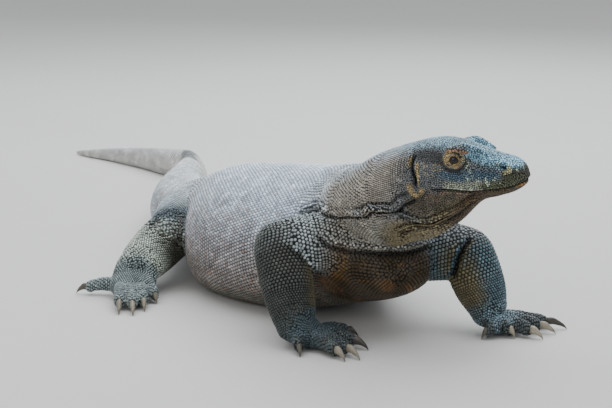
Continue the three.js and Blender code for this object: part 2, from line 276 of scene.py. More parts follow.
HEAD_AHEAD = np.array([math.cos(HEAD_TURN), math.sin(HEAD_TURN), 0])
HEAD_LEFT = np.array([-math.sin(HEAD_TURN), math.cos(HEAD_TURN), 0])
HEAD_AXES = np.stack([HEAD_AHEAD, HEAD_LEFT, UP])


def head_points(rows):
    """Points of the head's frame (ahead, left, up) as points of the model, in millimetres."""
    return HEAD_AT + np.asarray(rows, float) @ HEAD_AXES


def in_head(points):
    """Points of the model, in metres, in the head's frame, in millimetres."""
    return (points / MM - HEAD_AT) @ HEAD_AXES.T


THROAT = np.array(NECK + [[*head_points([[row[0], 0, 0]])[0], *row[1:]] for row in SKULL], float)


def section(point, half, height):
    return [*point, half, height, height, 2.0, 2.0]


def bone(start, end, rows):
    return np.array([section(start + (end - start) * share, half, half) for share, half in rows])


def leg_parts(leg):
    """A leg's lofts: the stations and facing of its three lengths, and those of its digits and claws."""
    root, hinge, wrist = (np.array(leg[k], float) for k in ("root", "hinge", "wrist"))
    at_root, at_hinge, at_wrist = leg["thick"]
    palm = np.array([*leg["palm"], 20.0])
    reach = np.linalg.norm((palm - wrist)[:2])
    forward = unit((palm - wrist) * [1, 1, 0])
    upper = bone(root, hinge, [[-0.1, at_root], [0.35, at_root], [0.75, (at_root + at_hinge) / 2],
                               [1, at_hinge], [1.2, at_hinge * 0.8], [1.32, at_hinge * 0.4]])
    lower = bone(hinge, wrist, [[-0.32, at_hinge * 0.4], [-0.2, at_hinge * 0.8], [0, at_hinge],
                                [0.4, at_hinge * 1.02], [0.72, at_hinge * 0.96], [1, at_wrist * 0.96],
                                [1.14, at_wrist * 0.8], [1.22, at_wrist * 0.35]])
    spread = leg["spread"]
    sole = np.array([
        section([*(wrist + forward * ahead)[:2], z], half, height)
        for ahead, half, height, z in [
            [-at_wrist * 0.6, at_wrist * 0.72, at_wrist * 0.66, wrist[2] - 9],
            [0, at_wrist, at_wrist * 0.96, wrist[2] - 3], [reach * 0.55, spread * 0.98, 28, 27],
            [reach * 0.9, spread * 0.95, 23, 21.5], [reach + 11, spread * 0.6, 16, 15.5]]])
    across = np.cross(UP, forward) * -leg["side"]
    digits, claws = [], []
    for index, tip in enumerate(leg["tips"]):
        size = 1.0 if index % 4 else 0.9
        tip = np.array([*tip, 0.0])
        start = wrist + (palm - wrist) * 0.35 if index == 4 else palm
        knuckle = start + across * (2 - index) * spread * 2 * KNUCKLES

        def at(share, z):
            return [*(knuckle + (tip - knuckle) * share)[:2], z]

        def along(rows, share_of):
            return [section(at(share * share_of, z), half * size, height * size)
                    for share, z, half, height in rows]

        digits.append(np.array(along(DIGIT_ROWS, DIGIT_SHARE)))
        claws.append(np.array([*along(CLAW_ROWS, 1), section(at(1, 1), 0.7, 1.1)]))
    return dict(lengths=dict(upper=(upper, UP), lower=(lower, forward), sole=(sole, None)),
                digits=digits, claws=claws)


PARTS = {name: leg_parts(leg) for name, leg in LEGS.items()}


# ---------------------------------------------------------------- the flesh as one closed skin

def add_object(name, data):
    made = bpy.data.objects.new(name, data)
    bpy.context.scene.collection.objects.link(made)
    return made


def mesh_object(name, points, faces, smooth=True):
    mesh = bpy.data.meshes.new(name)
    mesh.from_pydata(np.asarray(points).tolist(), [], faces)
    if smooth:
        mesh.shade_smooth()
    return add_object(name, mesh)


def flesh():
    """All the lofts, in millimetres, overlapping each other."""
    yield loft(TRUNK, grow=-COAT, per=10, sides=96)
    yield loft(THROAT, grow=-COAT, per=10, sides=96)
    for side in (-1, 1):
        rows = [section(head_points([[a, side * o, u]])[0], half, half) for a, o, u, half in BROW]
        yield loft(rows, grow=-0.5)
    for parts in PARTS.values():
        for rows, facing in parts["lengths"].values():
            yield loft(rows, facing, grow=-COAT)
        for rows in parts["digits"]:
            yield loft(rows, grow=-COAT * 0.6, per=10, sides=28)


def join_flesh():
    points, faces, count = [], [], 0
    for some, theirs in flesh():
        points.append(some)
        faces += [[k + count for k in face] for face in theirs]
        count += len(some)
    made = mesh_object("skin", np.concatenate(points) * MM, faces)
    remesh = made.modifiers.new("joined", "REMESH")
    remesh.mode = "VOXEL"
    remesh.voxel_size = VOXEL * MM
    apply_modifiers(made)
    return made


def apply_modifiers(made):
    graph = bpy.context.evaluated_depsgraph_get()
    mesh = bpy.data.meshes.new_from_object(made.evaluated_get(graph))
    old, made.data = made.data, mesh
    made.modifiers.clear()
    bpy.data.meshes.remove(old)


def vectors_of(items, key):
    vectors = np.empty(len(items) * 3)
    items.foreach_get(key, vectors)
    return vectors.reshape(-1, 3)


def points_of(mesh):
    return vectors_of(mesh.vertices, "co")


def normals_of(mesh):
    return vectors_of(mesh.vertex_normals, "vector")


def move_to(mesh, points):
    mesh.vertices.foreach_set("co", points.ravel())
    mesh.update()


def relax(mesh, rounds, weight=1.0, shrink=False):
    """Evens a mesh out. Unless it may shrink, each inward round is followed by an outward one."""
    edges = np.empty(len(mesh.edges) * 2, np.int64)
    mesh.edges.foreach_get("vertices", edges)
    a, b = edges.reshape(-1, 2).T
    points = points_of(mesh)
    count = len(points)
    degree = np.bincount(a, minlength=count) + np.bincount(b, minlength=count)
    degree = np.maximum(degree, 1)[:, None]
    weight = np.broadcast_to(weight, count)[:, None]
    for _ in range(rounds):
        for step in ((0.5,) if shrink else (0.5, -0.53)):
            total = np.empty_like(points)
            for axis in range(3):
                total[:, axis] = (np.bincount(a, points[b, axis], count)
                                  + np.bincount(b, points[a, axis], count))
            points = points + weight * step * (total / degree - points)
    move_to(mesh, points)


# ---------------------------------------------------------------- folds, lips, lids and openings

def mirrored(line):
    """The same line on the other side of the neck."""
    line = np.asarray(line, float)
    places = np.linspace(0, 5, 200)
    middle = station_at(THROAT, places)[:, :3]
    left = frames_at(THROAT, places)[1]
    made = []
    for point in line:
        k = np.argmin(np.linalg.norm((middle - point)[:, :2], axis=1))
        made.append(point - 2 * ((point - middle[k]) @ left[k]) * left[k])
    return made


# The fold along the neck, from the shoulder to under the ear: its stretches and how high each stands.
NECK_FOLDS = [
    ([[237, -79, 193], [247, -70, 204], [265, -62, 209], [288, -62, 206]], 6.2),
    ([[284, -62, 206], [330, -70, 210], [368, -72, 217], [408, -74, 226]], 2.0),
    ([[400, -74, 224], [421, -74, 229], [436, -71, 238], [451, -69, 242], [466, -61, 242], [481, -53, 247],
      [496, -49, 259], [513, -43, 270]], 6.6),
]
THROAT_FOLDS = [
    [[-30, 29, -68], [-12, 30, -72], [14, 30, -78], [36, 31, -69], [60, 28, -58], [82, 28, -42],
     [98, 28, -34]],
    [[-37, 12, -103], [-11, 22, -89], [13, 26, -84], [27, 25, -83], [48, 25, -70], [72, 24, -56]],
]
THROAT_RIM = [[296, -74, 168], [318, -66, 163], [346, -46, 159], [372, -9, 158], [381, 23, 156],
              [382, 52, 156], [370, 88, 160]]
MOUTH = [[26, 50, -25], [45, 47, -24], [62, 43, -25], [80, 38, -27], [97, 34, -28], [120, 32, -25],
         [140, 28, -20], [154, 21, -13], [162, 12, -8], [166, 0, -7]]
EAR = [[1, 50, 31], [-2, 50, 21], [-3, 52, 12], [-1, 53, 0], [3, 52, -10], [2, 50, -22]]
NOSTRIL = [[127, 29, 17], [133, 29, 14], [138, 28, 12]]
LIMB_CREASES = [
    # line, half width, height, how dark: the painted shade in the crease
    ([[402, 149, 160], [403, 134, 148], [402, 124, 133], [397, 121, 112], [387, 123, 94]], 4.8, -7.5, 1.3),
    ([[-116, -188, 110], [-134, -168, 120], [-151, -146, 126], [-148, -130, 129], [-128, -120, 122]],
     6.0, -4.5, 0.7),
    ([[-108, -184, 100], [-108, -164, 108], [-112, -146, 112]], 10.0, 5.0, 0.0),
    ([[-96, -150, 96], [-92, -142, 72]], 9.0, -3.0, 0.8),
    ([[-244, 180, 126], [-260, 160, 128], [-262, 140, 122]], 4.6, -5.0, 1.0),
]
# Low forms of the face, in the head's frame: line, half width, height, how dark (painted shade, and below
# zero painted light).
FACE_FORMS = [
    ([[26, 50, -26], [14, 52, -36], [2, 48, -46]], 3.5, -2.4, 0.5),
    ([[84, 31, 36], [106, 28, 30], [128, 24, 22]], 5.0, 1.2, -0.1),
    ([[92, 38, 8], [112, 34, 4]], 10.0, -1.8, 0.1),
    ([[120, 34, 22], [133, 32, 23], [142, 29, 17], [140, 30, 8], [130, 33, 6]], 3.6, 2.2, -0.1),
    ([[18, 52, 6], [34, 50, -8]], 16.0, 3.0, 0.0),
    ([[38, 40, 40], [60, 43, 38], [84, 38, 32]], 3.2, 2.0, 0.0),
]


# Shapes of folds across: how far up the skin, half width, height (below zero for a groove), how dark (painted
# shade in grooves and holes, and below zero painted light on ridges).
THROAT_SHAPE = [[0, 2.9, 5.0, -1.0], [-6.5, 2.8, -4.6, 1.2], [6, 2.6, -3.0, 0.7]]
RIM_SHAPE = [[0, 4.0, 5.6, -1.0], [-10, 6.5, -6.5, 1.0], [10, 6.0, -1.5, 0.15]]
LIP_SHAPE = [[0, 1.9, -3.6, 1.0], [4.5, 4.0, 1.5, -0.1], [-5.5, 4.0, 0.9, 0.0]]
EAR_SLIT, EAR_EDGE, NOSTRIL_HOLE = [[0, 2.5, -9.0, 1.3]], [[0, 3.2, 2.0, -0.1]], [[0, 3.3, -8.0, 1.3]]


# Across a neck fold: a ridge with painted light, grooves beside it with painted shade.
def neck_shape(height):
    return [[0, 3.9, height, -0.12 * height / 6], [-7.5, 3.4, -6.6, 1.0], [-17, 8.0, -1.6, 0.1],
            [8.5, 3.6, -0.4 * height, 0.12 * height]]


def head_line(rows, side):
    return head_points([[a, o * side, u] for a, o, u in rows])


def fold_lines():
    """Every fold's line and its shape across."""
    for rows, height in NECK_FOLDS:
        for line in (rows, mirrored(rows)):
            line = smooth_line(line, 4)
            yield line + np.sin(np.arange(len(line)) * 0.9)[:, None] * UP * 1.6, neck_shape(height)
    for side in (-1, 1):
        for rows in THROAT_FOLDS:
            yield smooth_line(head_line(rows, side), 3), THROAT_SHAPE
        yield smooth_line(head_line(EAR, side), 3), EAR_SLIT
        for shift in (-7, 7):
            yield smooth_line(head_line(np.array(EAR) + [shift, 0, 0], side), 3), EAR_EDGE
        yield smooth_line(head_line(NOSTRIL, side), 2), NOSTRIL_HOLE
        yield smooth_line(head_line(MOUTH, side), 4), LIP_SHAPE
        for rows, *shape in FACE_FORMS:
            yield smooth_line(head_line(rows, side), 2), [[0, *shape]]
    yield smooth_line(THROAT_RIM, 3), RIM_SHAPE
    for rows, half, height, shade in LIMB_CREASES:
        edges = [[shift, 4.0, 1.8, -0.08] for shift in (-2 * half, 2 * half)] if height < 0 else []
        yield smooth_line(rows, 3), [[0, half, height, shade], *edges]


FOLDS = [(line, *shape) for line, shapes in fold_lines() for shape in shapes]


def taper(place, count):
    return smooth_step(0, 1.2, place) * smooth_step(0, 1.2, count - 1 - place)


def on_skin(tree, line):
    """The points of the skin nearest to a line's points, in millimetres, and the skin's normals there."""
    hits = [tree.find_nearest(Vector(point) * MM) for point in line]
    return np.array([hit[0] for hit in hits]) / MM, np.array([hit[1] for hit in hits])


def press_folds(points, tree):
    """How far the folds move the skin along its normal, in millimetres, and the painted shade they lay in
    grooves and holes, below zero the painted light on ridges.
    """
    push, dark = np.zeros(len(points)), np.zeros(len(points))
    in_mm = points / MM
    for line, shift, half, height, shade in FOLDS:
        line, normals = on_skin(tree, line)
        if shift:
            upward = unit(np.cross(np.gradient(line, axis=0), normals))
            upward *= np.sign(upward[:, 2].sum())
            line, _ = on_skin(tree, line + upward * shift)
        low, high = line.min(0) - 3 * half, line.max(0) + 3 * half
        near = np.flatnonzero(((in_mm > low) & (in_mm < high)).all(1))
        if not len(near):
            continue
        gap, place = near_line(in_mm[near], line)
        strength = np.exp(-(gap / half) ** 2) * taper(place, len(line))
        push[near] += strength * height
        dark[near] += strength * shade
    return push, dark


def eye_frame(side):
    """The eyeball's middle, its gaze, and the directions ahead and up across it, for one side."""
    middle = head_points([EYE * [1, side, 1]])[0]
    gaze = unit((GAZE * [1, side, 1]) @ HEAD_AXES)
    ahead = unit(HEAD_AHEAD - (HEAD_AHEAD @ gaze) * gaze)
    return middle, gaze, ahead, unit(UP - (UP @ gaze) * gaze - (UP @ ahead) * ahead)


def from_eye(points, side):
    """How far points lie from an eyeball's middle: in all, along its gaze, ahead and up."""
    middle, gaze, ahead, up = eye_frame(side)
    way = points / MM - middle
    return np.linalg.norm(way, axis=1), way @ gaze, way @ ahead, way @ up


LID_OPENING = (7.9, 7.0)    # half length and half height of the opening between the lids


def open_lids(points):
    """Draws the skin back behind the eyeball in the lids' opening, and lifts it over the ball around it."""
    for side in (-1, 1):
        gap, out, along, above = from_eye(points, side)
        reach = np.sqrt((along / LID_OPENING[0]) ** 2 + (above / LID_OPENING[1]) ** 2)
        near = (out > 0) & (reach < 2.6) & (gap < 30)
        lid = EYE_RADIUS + 1.2 - 2.2 * smooth_step(1.15, 2.5, reach)
        depth = np.where(reach < 1, EYE_RADIUS - 1.6, lid)
        flat = np.hypot(along, above)
        wanted = np.sqrt(np.maximum(depth ** 2 - flat ** 2, 0))
        move = np.where(reach < 1, wanted - out, np.maximum(wanted - out, 0)) * near
        points = points + (move * MM)[:, None] * eye_frame(side)[1]
    return points


WRINKLES = [
    # middle of the patch, its reach, direction across the wrinkles, pitch, height
    [[318, -138, 58], [34, 34, 26], [0.2, 0, 1], 9, 0.9],
    [[414, 172, 60], [34, 34, 26], [0.1, 0, 1], 9, 0.9],
    [[-104, -212, 62], [40, 40, 30], [0.4, -0.5, 0.8], 9, 1.0],
    [[-128, -160, 108], [46, 44, 36], [-0.7, 0.2, 0.6], 9, 2.0],
    [[262, -100, 192], [50, 40, 30], [-0.4, -0.9, 0.1], 11, 1.5],
    [[290, -96, 150], [40, 40, 40], [0.8, -0.2, 0.3], 12, 1.2],
    [[-284, 280, 62], [40, 40, 30], [0, -0.6, 0.8], 9, 1.0],
    [[-232, 190, 112], [44, 40, 34], [-0.7, -0.2, 0.6], 9, 2.0],
    [[300, 30, 262], [90, 80, 40], [1, 0, 0.2], 14, 0.6],
    [[330, -60, 180], [60, 30, 26], [1, 0, 0.5], 12, 0.8],
]


def press_wrinkles(points):
    push = np.zeros(len(points))
    for middle, reach, across, pitch, height in WRINKLES:
        way = points / MM - np.array(middle)
        inside = np.exp(-((way / np.array(reach)) ** 2).sum(1))
        wobble = 2.2 * noise(points, 26, 5)
        push += height * inside * np.sin(2 * np.pi * (way @ unit(np.array(across, float)) / pitch + wobble))
    return push


SOFT_JOINTS = [
    # where a limb or the neck runs into the body, and the wrists: middle, radius
    [[284, -84, 176], 66], [[330, 106, 150], 70], [[-214, -72, 96], 72], [[-262, 130, 96], 78],
    [[240, -40, 220], 84], [[240, 100, 220], 84], [[330, -64, 176], 70], [[330, 100, 170], 70],
    [[372, 20, 165], 40], [[-420, 44, 60], 60],
    [[312, -146, 34], 40], [[403, 165, 34], 40], [[-112, -214, 40], 42], [[-286, 282, 40], 42],
]
SOFT_ROUNDS = 46
FINE_ZONES = [
    # where the skin is made finer: line, radius
    [head_points([[-30, 0, -20], [160, 0, 0]]), 72],
    [head_points([[-40, 0, -70], [60, 0, -62]]), 46],
    [np.array([[236, -80, 195], [372, -76, 220], [490, -50, 250]]), 26],
    [np.array([[296, -74, 164], [346, -48, 150], [380, 20, 146], [356, 92, 158]]), 22],
]


KEPT_ZONES = FINE_ZONES[:3]     # those where no face is given up again: the head, the throat, the neck's fold


def subdivide_zone(mesh):
    """Halves the faces where small features are."""
    built = bmesh.new()
    built.from_mesh(mesh)
    points = points_of(mesh) / MM
    inside = np.zeros(len(points), bool)
    for line, radius in FINE_ZONES:
        inside |= near_line(points, line)[0] < radius
    edges = [edge for edge in built.edges if inside[edge.verts[0].index] and inside[edge.verts[1].index]]
    bmesh.ops.subdivide_edges(built, edges=edges, cuts=1, use_grid_fill=True)
    built.to_mesh(mesh)
    built.free()
    mesh.update()


def tree_of(mesh):
    return BVHTree.FromPolygons(points_of(mesh).tolist(), [tuple(face.vertices) for face in mesh.polygons])


def sculpt(skin):
    """Rounds the joints, presses the folds in and opens the lids. Returns the folds' painted shade, below
    zero their painted light.
    """
    mesh = skin.data
    relax(mesh, 4)
    points = points_of(mesh) / MM
    soft = np.zeros(len(points))
    for middle, radius in SOFT_JOINTS:
        gap = np.linalg.norm(points - middle, axis=1)
        soft = np.maximum(soft, smooth_step(radius * 1.2, radius * 0.4, gap))
    relax(mesh, SOFT_ROUNDS, soft, shrink=True)
    subdivide_zone(mesh)
    relax(mesh, 2)
    points, normals = points_of(mesh), normals_of(mesh)
    push, dark = press_folds(points, tree_of(mesh))
    push += press_wrinkles(points)
    points = points + normals * (push * MM)[:, None]
    points = open_lids(points)
    points[:, 2] = np.maximum(points[:, 2], OFF_GROUND)
    move_to(mesh, points)
    return dark


# ---------------------------------------------------------------- markings

def tone(code):
    """A colour written as six hexadecimal digits, as linear numbers."""
    value = np.array([int(code[k:k + 2], 16) for k in (0, 2, 4)]) / 255
    return np.where(value <= 0.04045, value / 12.92, ((value + 0.055) / 1.055) ** 2.4)


# Each hide is the colour of its scales and of the skin between them.
HIDES = {name: (tone(scale), tone(skin)) for name, (scale, skin) in {
    "back": ("d6e5f3", "8d99a4"), "flank": ("b6b4b8", "565557"), "low_flank": ("948c84", "36332f"),
    "belly": ("727168", "2e2e2a"), "tail": ("d8d8d3", "949490"), "tail_top_sheen": ("dfe3e6", "a6abaf"),
    "neck": ("a9a296", "0d0b09"), "neck_top_sheen": ("a4b8c6", "1a2024"), "under_neck": ("9a988c", "1f1f1b"),
    "crown": ("9cc2d4", "2a3a43"), "cheek": ("74787a", "2b2d2e"), "temple": ("3b4042", "141616"),
    "snout": ("a6dbf2", "3a5a6b"), "snout_tip": ("3f4133", "13140e"), "jaw": ("5f594b", "26231b"),
    "chin": ("57452a", "20180c"), "throat": ("7d7254", "2a2517"),
    "chest": ("3a2b0d", "150e03"), "band": ("7a5018", "402808"), "ochre": ("7a5a2b", "38270f"),
    "shoulder": ("a9b4b5", "1d2121"), "arm": ("3a3f3a", "090a09"), "arm_left": ("4e6973", "0d1417"),
    "inner_arm": ("635c42", "353121"), "hand": ("48595f", "11191c"), "hand_left": ("748b95", "1f272b"),
    "thigh": ("b9c7cf", "565d61"), "knee": ("3c5566", "0b1218"), "shank": ("c7d2c5", "4a4f49"),
    "hind_foot": ("899899", "282d2d"), "gold": ("bda87a", "64542f"), "rust": ("a07d62", "4d3528"),
    "fleck": ("c3d0bd", "454d43"), "black": ("17181a", "050506"),
    "olive": ("5c6048", "1b1c12"), "cream": ("c9c79a", "5c5a3c"), "digits": ("4a5355", "0e1213"),
    "crest": ("5b5f60", "303334"), "hollow_shade": ("46473c", "18180f"), "lip": ("a0a694", "42463a"),
    "face_blue_sheen": ("526c7e", "1b2831"), "lip_rim": ("b07d33", "472c0f"),
}.items()}

# Zones painted over each other in this order: hide, line in the head's frame, full radius, soft edge.
HEAD_ZONES = [
    # crown and snout: the head's grey with a painted pale blue sky sheen over its top.
    ["crown", [[-60, 0, 40], [60, 0, 50], [110, 0, 36]], 27, 18],
    ["temple", [[6, 46, 30], [22, 46, 30], [36, 45, 24]], 5, 9],
    ["snout", [[84, 24, 38], [112, 22, 30], [134, 20, 24], [150, 12, 22]], 10, 13],
    # A painted bluish highlight along the side of the face below the eye.
    ["face_blue_sheen", [[44, 50, 2], [66, 46, -4], [90, 40, 0], [118, 34, -2]], 5, 9],
    ["jaw", [[0, 46, -58], [60, 38, -42], [120, 24, -34]], 14, 12],
    ["throat", [[-30, 0, -120], [30, 0, -100], [60, 0, -74]], 34, 20],
    ["chin", [[62, 14, -72], [84, 20, -48], [112, 16, -38], [146, 8, -26]], 13, 10],
    ["snout_tip", [[146, 22, -4], [156, 14, -4], [164, 0, 0]], 12, 9],
    ["lip", [[52, 46, -18], [76, 40, -20], [98, 36, -16]], 3, 9],
    ["olive", [[108, 34, -19], [126, 33, -16], [146, 27, -9], [158, 16, -6]], 6, 7],
    ["gold", [[6, 51, 14], [7, 51, -17]], 0.8, 2.6],
    ["gold", [[-5, 48, 13], [-4, 48, 21]], 2.2, 3.5],
    ["gold", [[-6, 47, -20], [-5, 47, -28], [1, 47, -35], [9, 47, -36], [13, 47, -26]], 2.0, 4.5],
    ["lip_rim", [[110, 32, -33], [138, 27, -28], [152, 21, -20], [161, 12, -14], [165, 0, -13]], 1.8, 3.2],
    ["gold", [[74, 38, -34], [104, 32, -36]], 1.2, 3.5],
    ["cream", [[121, 31, 17], [130, 31, 22], [140, 29, 18], [141, 29, 8], [132, 32, 5]], 2.0, 3.2],
    ["black", [[70, 44, 4], [60, 46, 5], [50, 47, 8]], 1.5, 4.5],
    ["rust", [[49, 41, 33], [58, 42, 36], [68, 42, 36], [78, 41, 33]], 1.9, 2.6],
]
# Specks scattered over the head: hide, line, full radius, soft edge, how thick they lie, their size.
HEAD_SPECKS = [
    ["black", [[80, 36, 26], [100, 32, 26], [122, 30, 14]], 12, 10, 0.55, 4.2],
    ["temple", [[0, 0, 46], [60, 0, 52], [100, 0, 40]], 26, 20, 0.5, 4.6],
    ["fleck", [[86, 38, -12], [104, 35, -13], [118, 33, -8]], 7, 7, 0.9, 4.5],
    ["fleck", [[76, 42, 24], [84, 38, 12], [80, 42, 2]], 4, 6, 0.8, 4.0],
    ["fleck", [[50, 47, -20], [72, 42, -20], [84, 38, -24]], 4, 5, 0.8, 4.0],
    ["fleck", [[148, 24, 15], [156, 16, 14]], 5, 5, 0.6, 4.5],
    ["rust", [[30, 50, -34], [50, 46, -36], [92, 34, -36]], 8, 10, 0.4, 5.0],
    ["gold", [[20, 52, 10], [40, 50, 12]], 9, 8, 0.35, 4.0],
]


# Painted shade in the folds' grooves and painted light on their ridges.
GROOVE_SHADE, RIDGE_LIGHT, MOST_LIGHT = 0.88, 0.6, -0.8     # how much folds darken and ridges lighten
TAIL_CREST = [[-960, 300, 80], [-880, 262, 92], [-800, 226, 100]]
ARMPIT = [[330, -66, 140], [300, -66, 96], [286, -58, 76]]
# Hides of a leg's upper length, lower length, foot and digits.
HIND_HIDES = ("thigh", "shank", "hind_foot", "hind_foot")
# The right forearm's near-black hide and the right hand's darker one are painted shade, and the left fore
# limb's bluer, paler hides painted sky light, over one and the same hide.
LEG_HIDES = {"left_fore": ("arm_left", "arm_left", "hand_left", "digits"), "left_hind": HIND_HIDES,
             "right_fore": ("shoulder", "arm", "hand", "digits"), "right_hind": HIND_HIDES}


def limb_places(points, leg):
    """Distance from a leg's line, as a share of its thickness, and the place along it in joints."""
    line = np.array([leg["root"], leg["hinge"], leg["wrist"], [*leg["palm"], 20],
                     [*np.mean(leg["tips"], axis=0), 8]], float)
    gap, place = near_line(points / MM, line)
    thick = np.interp(place, [0, 1, 2, 3, 4], [*leg["thick"], leg["spread"] + 6, 75])
    return gap / thick, place


def markings(points, normals, dark):
    """The hide at points of the model: the scales' colour and the colour of the skin between them."""
    count = len(points)
    x, y, z = (points / MM).T
    patchy = noise(points, 60, 1) - 0.5
    base = [np.tile(colour, (count, 1)) for colour in HIDES["flank"]]

    def lay(hide, share):
        """Lays one hide over what is there."""
        for k, over in enumerate(HIDES[hide]):
            base[k] = base[k] + (over - base[k]) * share[:, None]

    # Up the back the hide grows paler and bluer, and low on the flanks darker: partly their own tones, partly
    # painted sky light from above and painted shade below.
    level = z + 26 * patchy
    lay("back", smooth_step(95, 225, level) * smooth_step(330, 200, x + 40 * patchy))
    lay("low_flank", smooth_step(120, 60, level) * 0.8)
    # Darker hide on the faces turned down: painted shade under the body.
    lay("belly", smooth_step(-0.35, -0.8, normals[:, 2]))
    lay("thigh", smooth_step(-190, -300, x) * 0.8)
    lay("tail", smooth_step(-500, -760, x))
    # Paler, bluer hide on the tail's upward faces: painted sky sheen.
    lay("tail_top_sheen", smooth_step(0.45, 0.9, normals[:, 2]) * smooth_step(-240, -400, x) * 0.8)
    crest, _ = near_line(points / MM, TAIL_CREST)
    lay("crest", smooth_step(40, 12, crest + 14 * patchy) * (0.75 + 0.25 * noise(points, 14, 21)))
    head = in_head(points)
    on_neck = (smooth_step(200, 350, x + 0.35 * (z - 190) + 30 * patchy)
               * smooth_step(170, 200, z + 0.2 * (x - 300)))
    lay("neck", on_neck)
    # Bluer, paler hide on the neck's upward faces: painted sky sheen.
    lay("neck_top_sheen", on_neck * smooth_step(0.35, 0.95, normals[:, 2]) * 0.85)
    lay("rust", on_neck * smooth_step(0.62, 0.85, noise(points, 9, 11)) * 0.5
        * smooth_step(0.45, 0.75, noise(points, 50, 12)))
    low = smooth_step(228, 200, z - 0.18 * (x - 380)) * smooth_step(235, 320, x)
    lay("under_neck", low * 0.8)
    # The chest's dark hide: partly its own dark olive-brown, partly painted shade under the overhanging neck.
    chest = smooth_step(162, 138, z) * smooth_step(225, 285, x) * smooth_step(-0.75, 0.3, normals[:, 0] + 0.3)
    lay("chest", chest)
    wave = np.sin((z + 0.35 * y + 40 * noise(points, 40, 3)) / 5.5)
    lay("band", 0.4 * chest * smooth_step(0.5, 0.98, wave)
        * smooth_step(0.45, 0.7, noise(points, 22, 8)))
    lay("ochre", near_share(points / MM, ARMPIT, 14, 20) * 0.5)
    for name, leg in LEGS.items():
        gap, place = limb_places(points, leg)
        near = smooth_step(1.42, 1.08, gap)
        ways = LEG_HIDES[name]
        lay(ways[0], near * smooth_step(0.12, 0.7, place))
        lay(ways[1], near * smooth_step(0.6, 1.15, place))
        if name.endswith("fore"):
            inner = smooth_step(0.1, 0.8, -leg["side"] * normals[:, 1])
            lay("inner_arm", near * inner * smooth_step(0.3, 0.9, place)
                * smooth_step(2.1, 1.8, place))
        else:
            lay("knee", near * np.exp(-((place - 1.04) / 0.3) ** 2) * 0.95)
            # Dark hide where the hind leg faces in towards the belly: painted shade in the hollow between
            # thigh and belly.
            inward = smooth_step(0.0, 0.9, normals @ unit(np.array([0.75, -leg["side"] * 0.6, -0.1])))
            lay("hollow_shade", near * inward * smooth_step(0.7, 1.0, place)
                * smooth_step(1.9, 1.5, place))
        lay(ways[2], near * smooth_step(1.85, 2.25, place))
        for digit in PARTS[name]["digits"]:
            gap, place = near_line(points / MM, digit[:, :3])
            lay(ways[2], smooth_step(22, 15, gap))
            lay(ways[3], smooth_step(22, 15, gap) * smooth_step(0.6, 1.6, place))
    on_head = head_share(points)
    lay("cheek", on_head)
    fold = head * [1, 0, 1] + np.abs(head) * [0, 1, 0]
    for hide, line, radius, edge in HEAD_ZONES:
        lay(hide, near_share(fold, line, radius, edge) * on_head)
    for seed, (hide, line, radius, edge, amount, size) in enumerate(HEAD_SPECKS):
        lay(hide, near_share(fold, line, radius, edge) * on_head * amount
            * smooth_step(0.56, 0.72, noise(points, size, 21 + seed)))
    for side in (-1, 1):
        gap, out, along, above = from_eye(points, side)
        out = (out > 0) & (gap < 40)
        reach = np.hypot(along / LID_OPENING[0], above / LID_OPENING[1])
        patchy_gold = smooth_step(0.36, 0.5, noise(points, 4.2, 31))
        lay("gold", smooth_step(2.15, 1.8, reach) * patchy_gold * out)
        lay("black", smooth_step(0.5, 0.25, np.abs(reach - 2.3)) * out * 0.75
            * smooth_step(2, -6, above))
    # The folds' painted shade darkens grooves, creases and holes, and their painted light brightens ridges.
    shade = np.where(dark > 0, 1 - GROOVE_SHADE * np.clip(dark, 0, 1),
                     1 - RIDGE_LIGHT * np.maximum(dark, MOST_LIGHT))
    spots = 0.8 + 0.4 * noise(points, 14, 2)
    return [colour * (shade * spots)[:, None] for colour in base]


def head_share(points):
    """1 on the head, 0 behind the ears."""
    head = in_head(points)
    return (smooth_step(-60, -10, head[:, 0] - 0.35 * (head[:, 2] + 30))
            * smooth_step(140, 175, points[:, 2] / MM))


# ---------------------------------------------------------------- scales

# One scale: a closed, rounded dome. Its rings, from below: share of the size, height, share of the crown.
DOME_SIDES = 6
DOME_RINGS = [[1.0, -0.35, 0.0], [0.8, 0.62, 0.55]]


def dome():
    """Points of one scale (ahead, left, up), its faces, and how near each point is to the crown."""
    points, crown = [], []
    for size, height, share in DOME_RINGS:
        for k in range(DOME_SIDES):
            angle = 2 * math.pi * k / DOME_SIDES
            points.append([size * math.cos(angle), size * math.sin(angle), height])
            crown.append(share)
    top = len(points)
    points.append([0, 0, 1.0])
    crown.append(1.0)
    faces = []
    for k in range(DOME_SIDES):
        j = (k + 1) % DOME_SIDES
        up_k, up_j = k + DOME_SIDES, j + DOME_SIDES
        faces += [[k, j, up_j], [k, up_j, up_k], [up_k, up_j, top]]
    faces += [[0, k + 1, k] for k in range(1, DOME_SIDES - 1)]
    return np.array(points), np.array(faces), np.array(crown)


# Size of the scales by place, in millimetres from one to the next: line, radius, soft edge, pitch.
def pitch_zones():
    yield head_points([[14, 0, -10], [170, 0, -6]]), 56, 16, 3.3
    yield head_points([[96, 0, 30], [166, 0, 4]]), 22, 12, 3.9
    for name, leg in LEGS.items():
        line = np.array([leg["root"], leg["hinge"], leg["wrist"], [*leg["palm"], 20]], float)
        yield line[:2], leg["thick"][0] * 1.25, 20, 6.2
        yield line[1:3], leg["thick"][1] * 1.25, 16, 6.8 if name.endswith("fore") else 6.0
        yield np.array([line[2], line[3]]), leg["spread"] * 1.25, 12, 4.8
        for digit in PARTS[name]["digits"]:
            yield digit[:, :3], 15, 5, 4.0


PITCH_ZONES = list(pitch_zones())


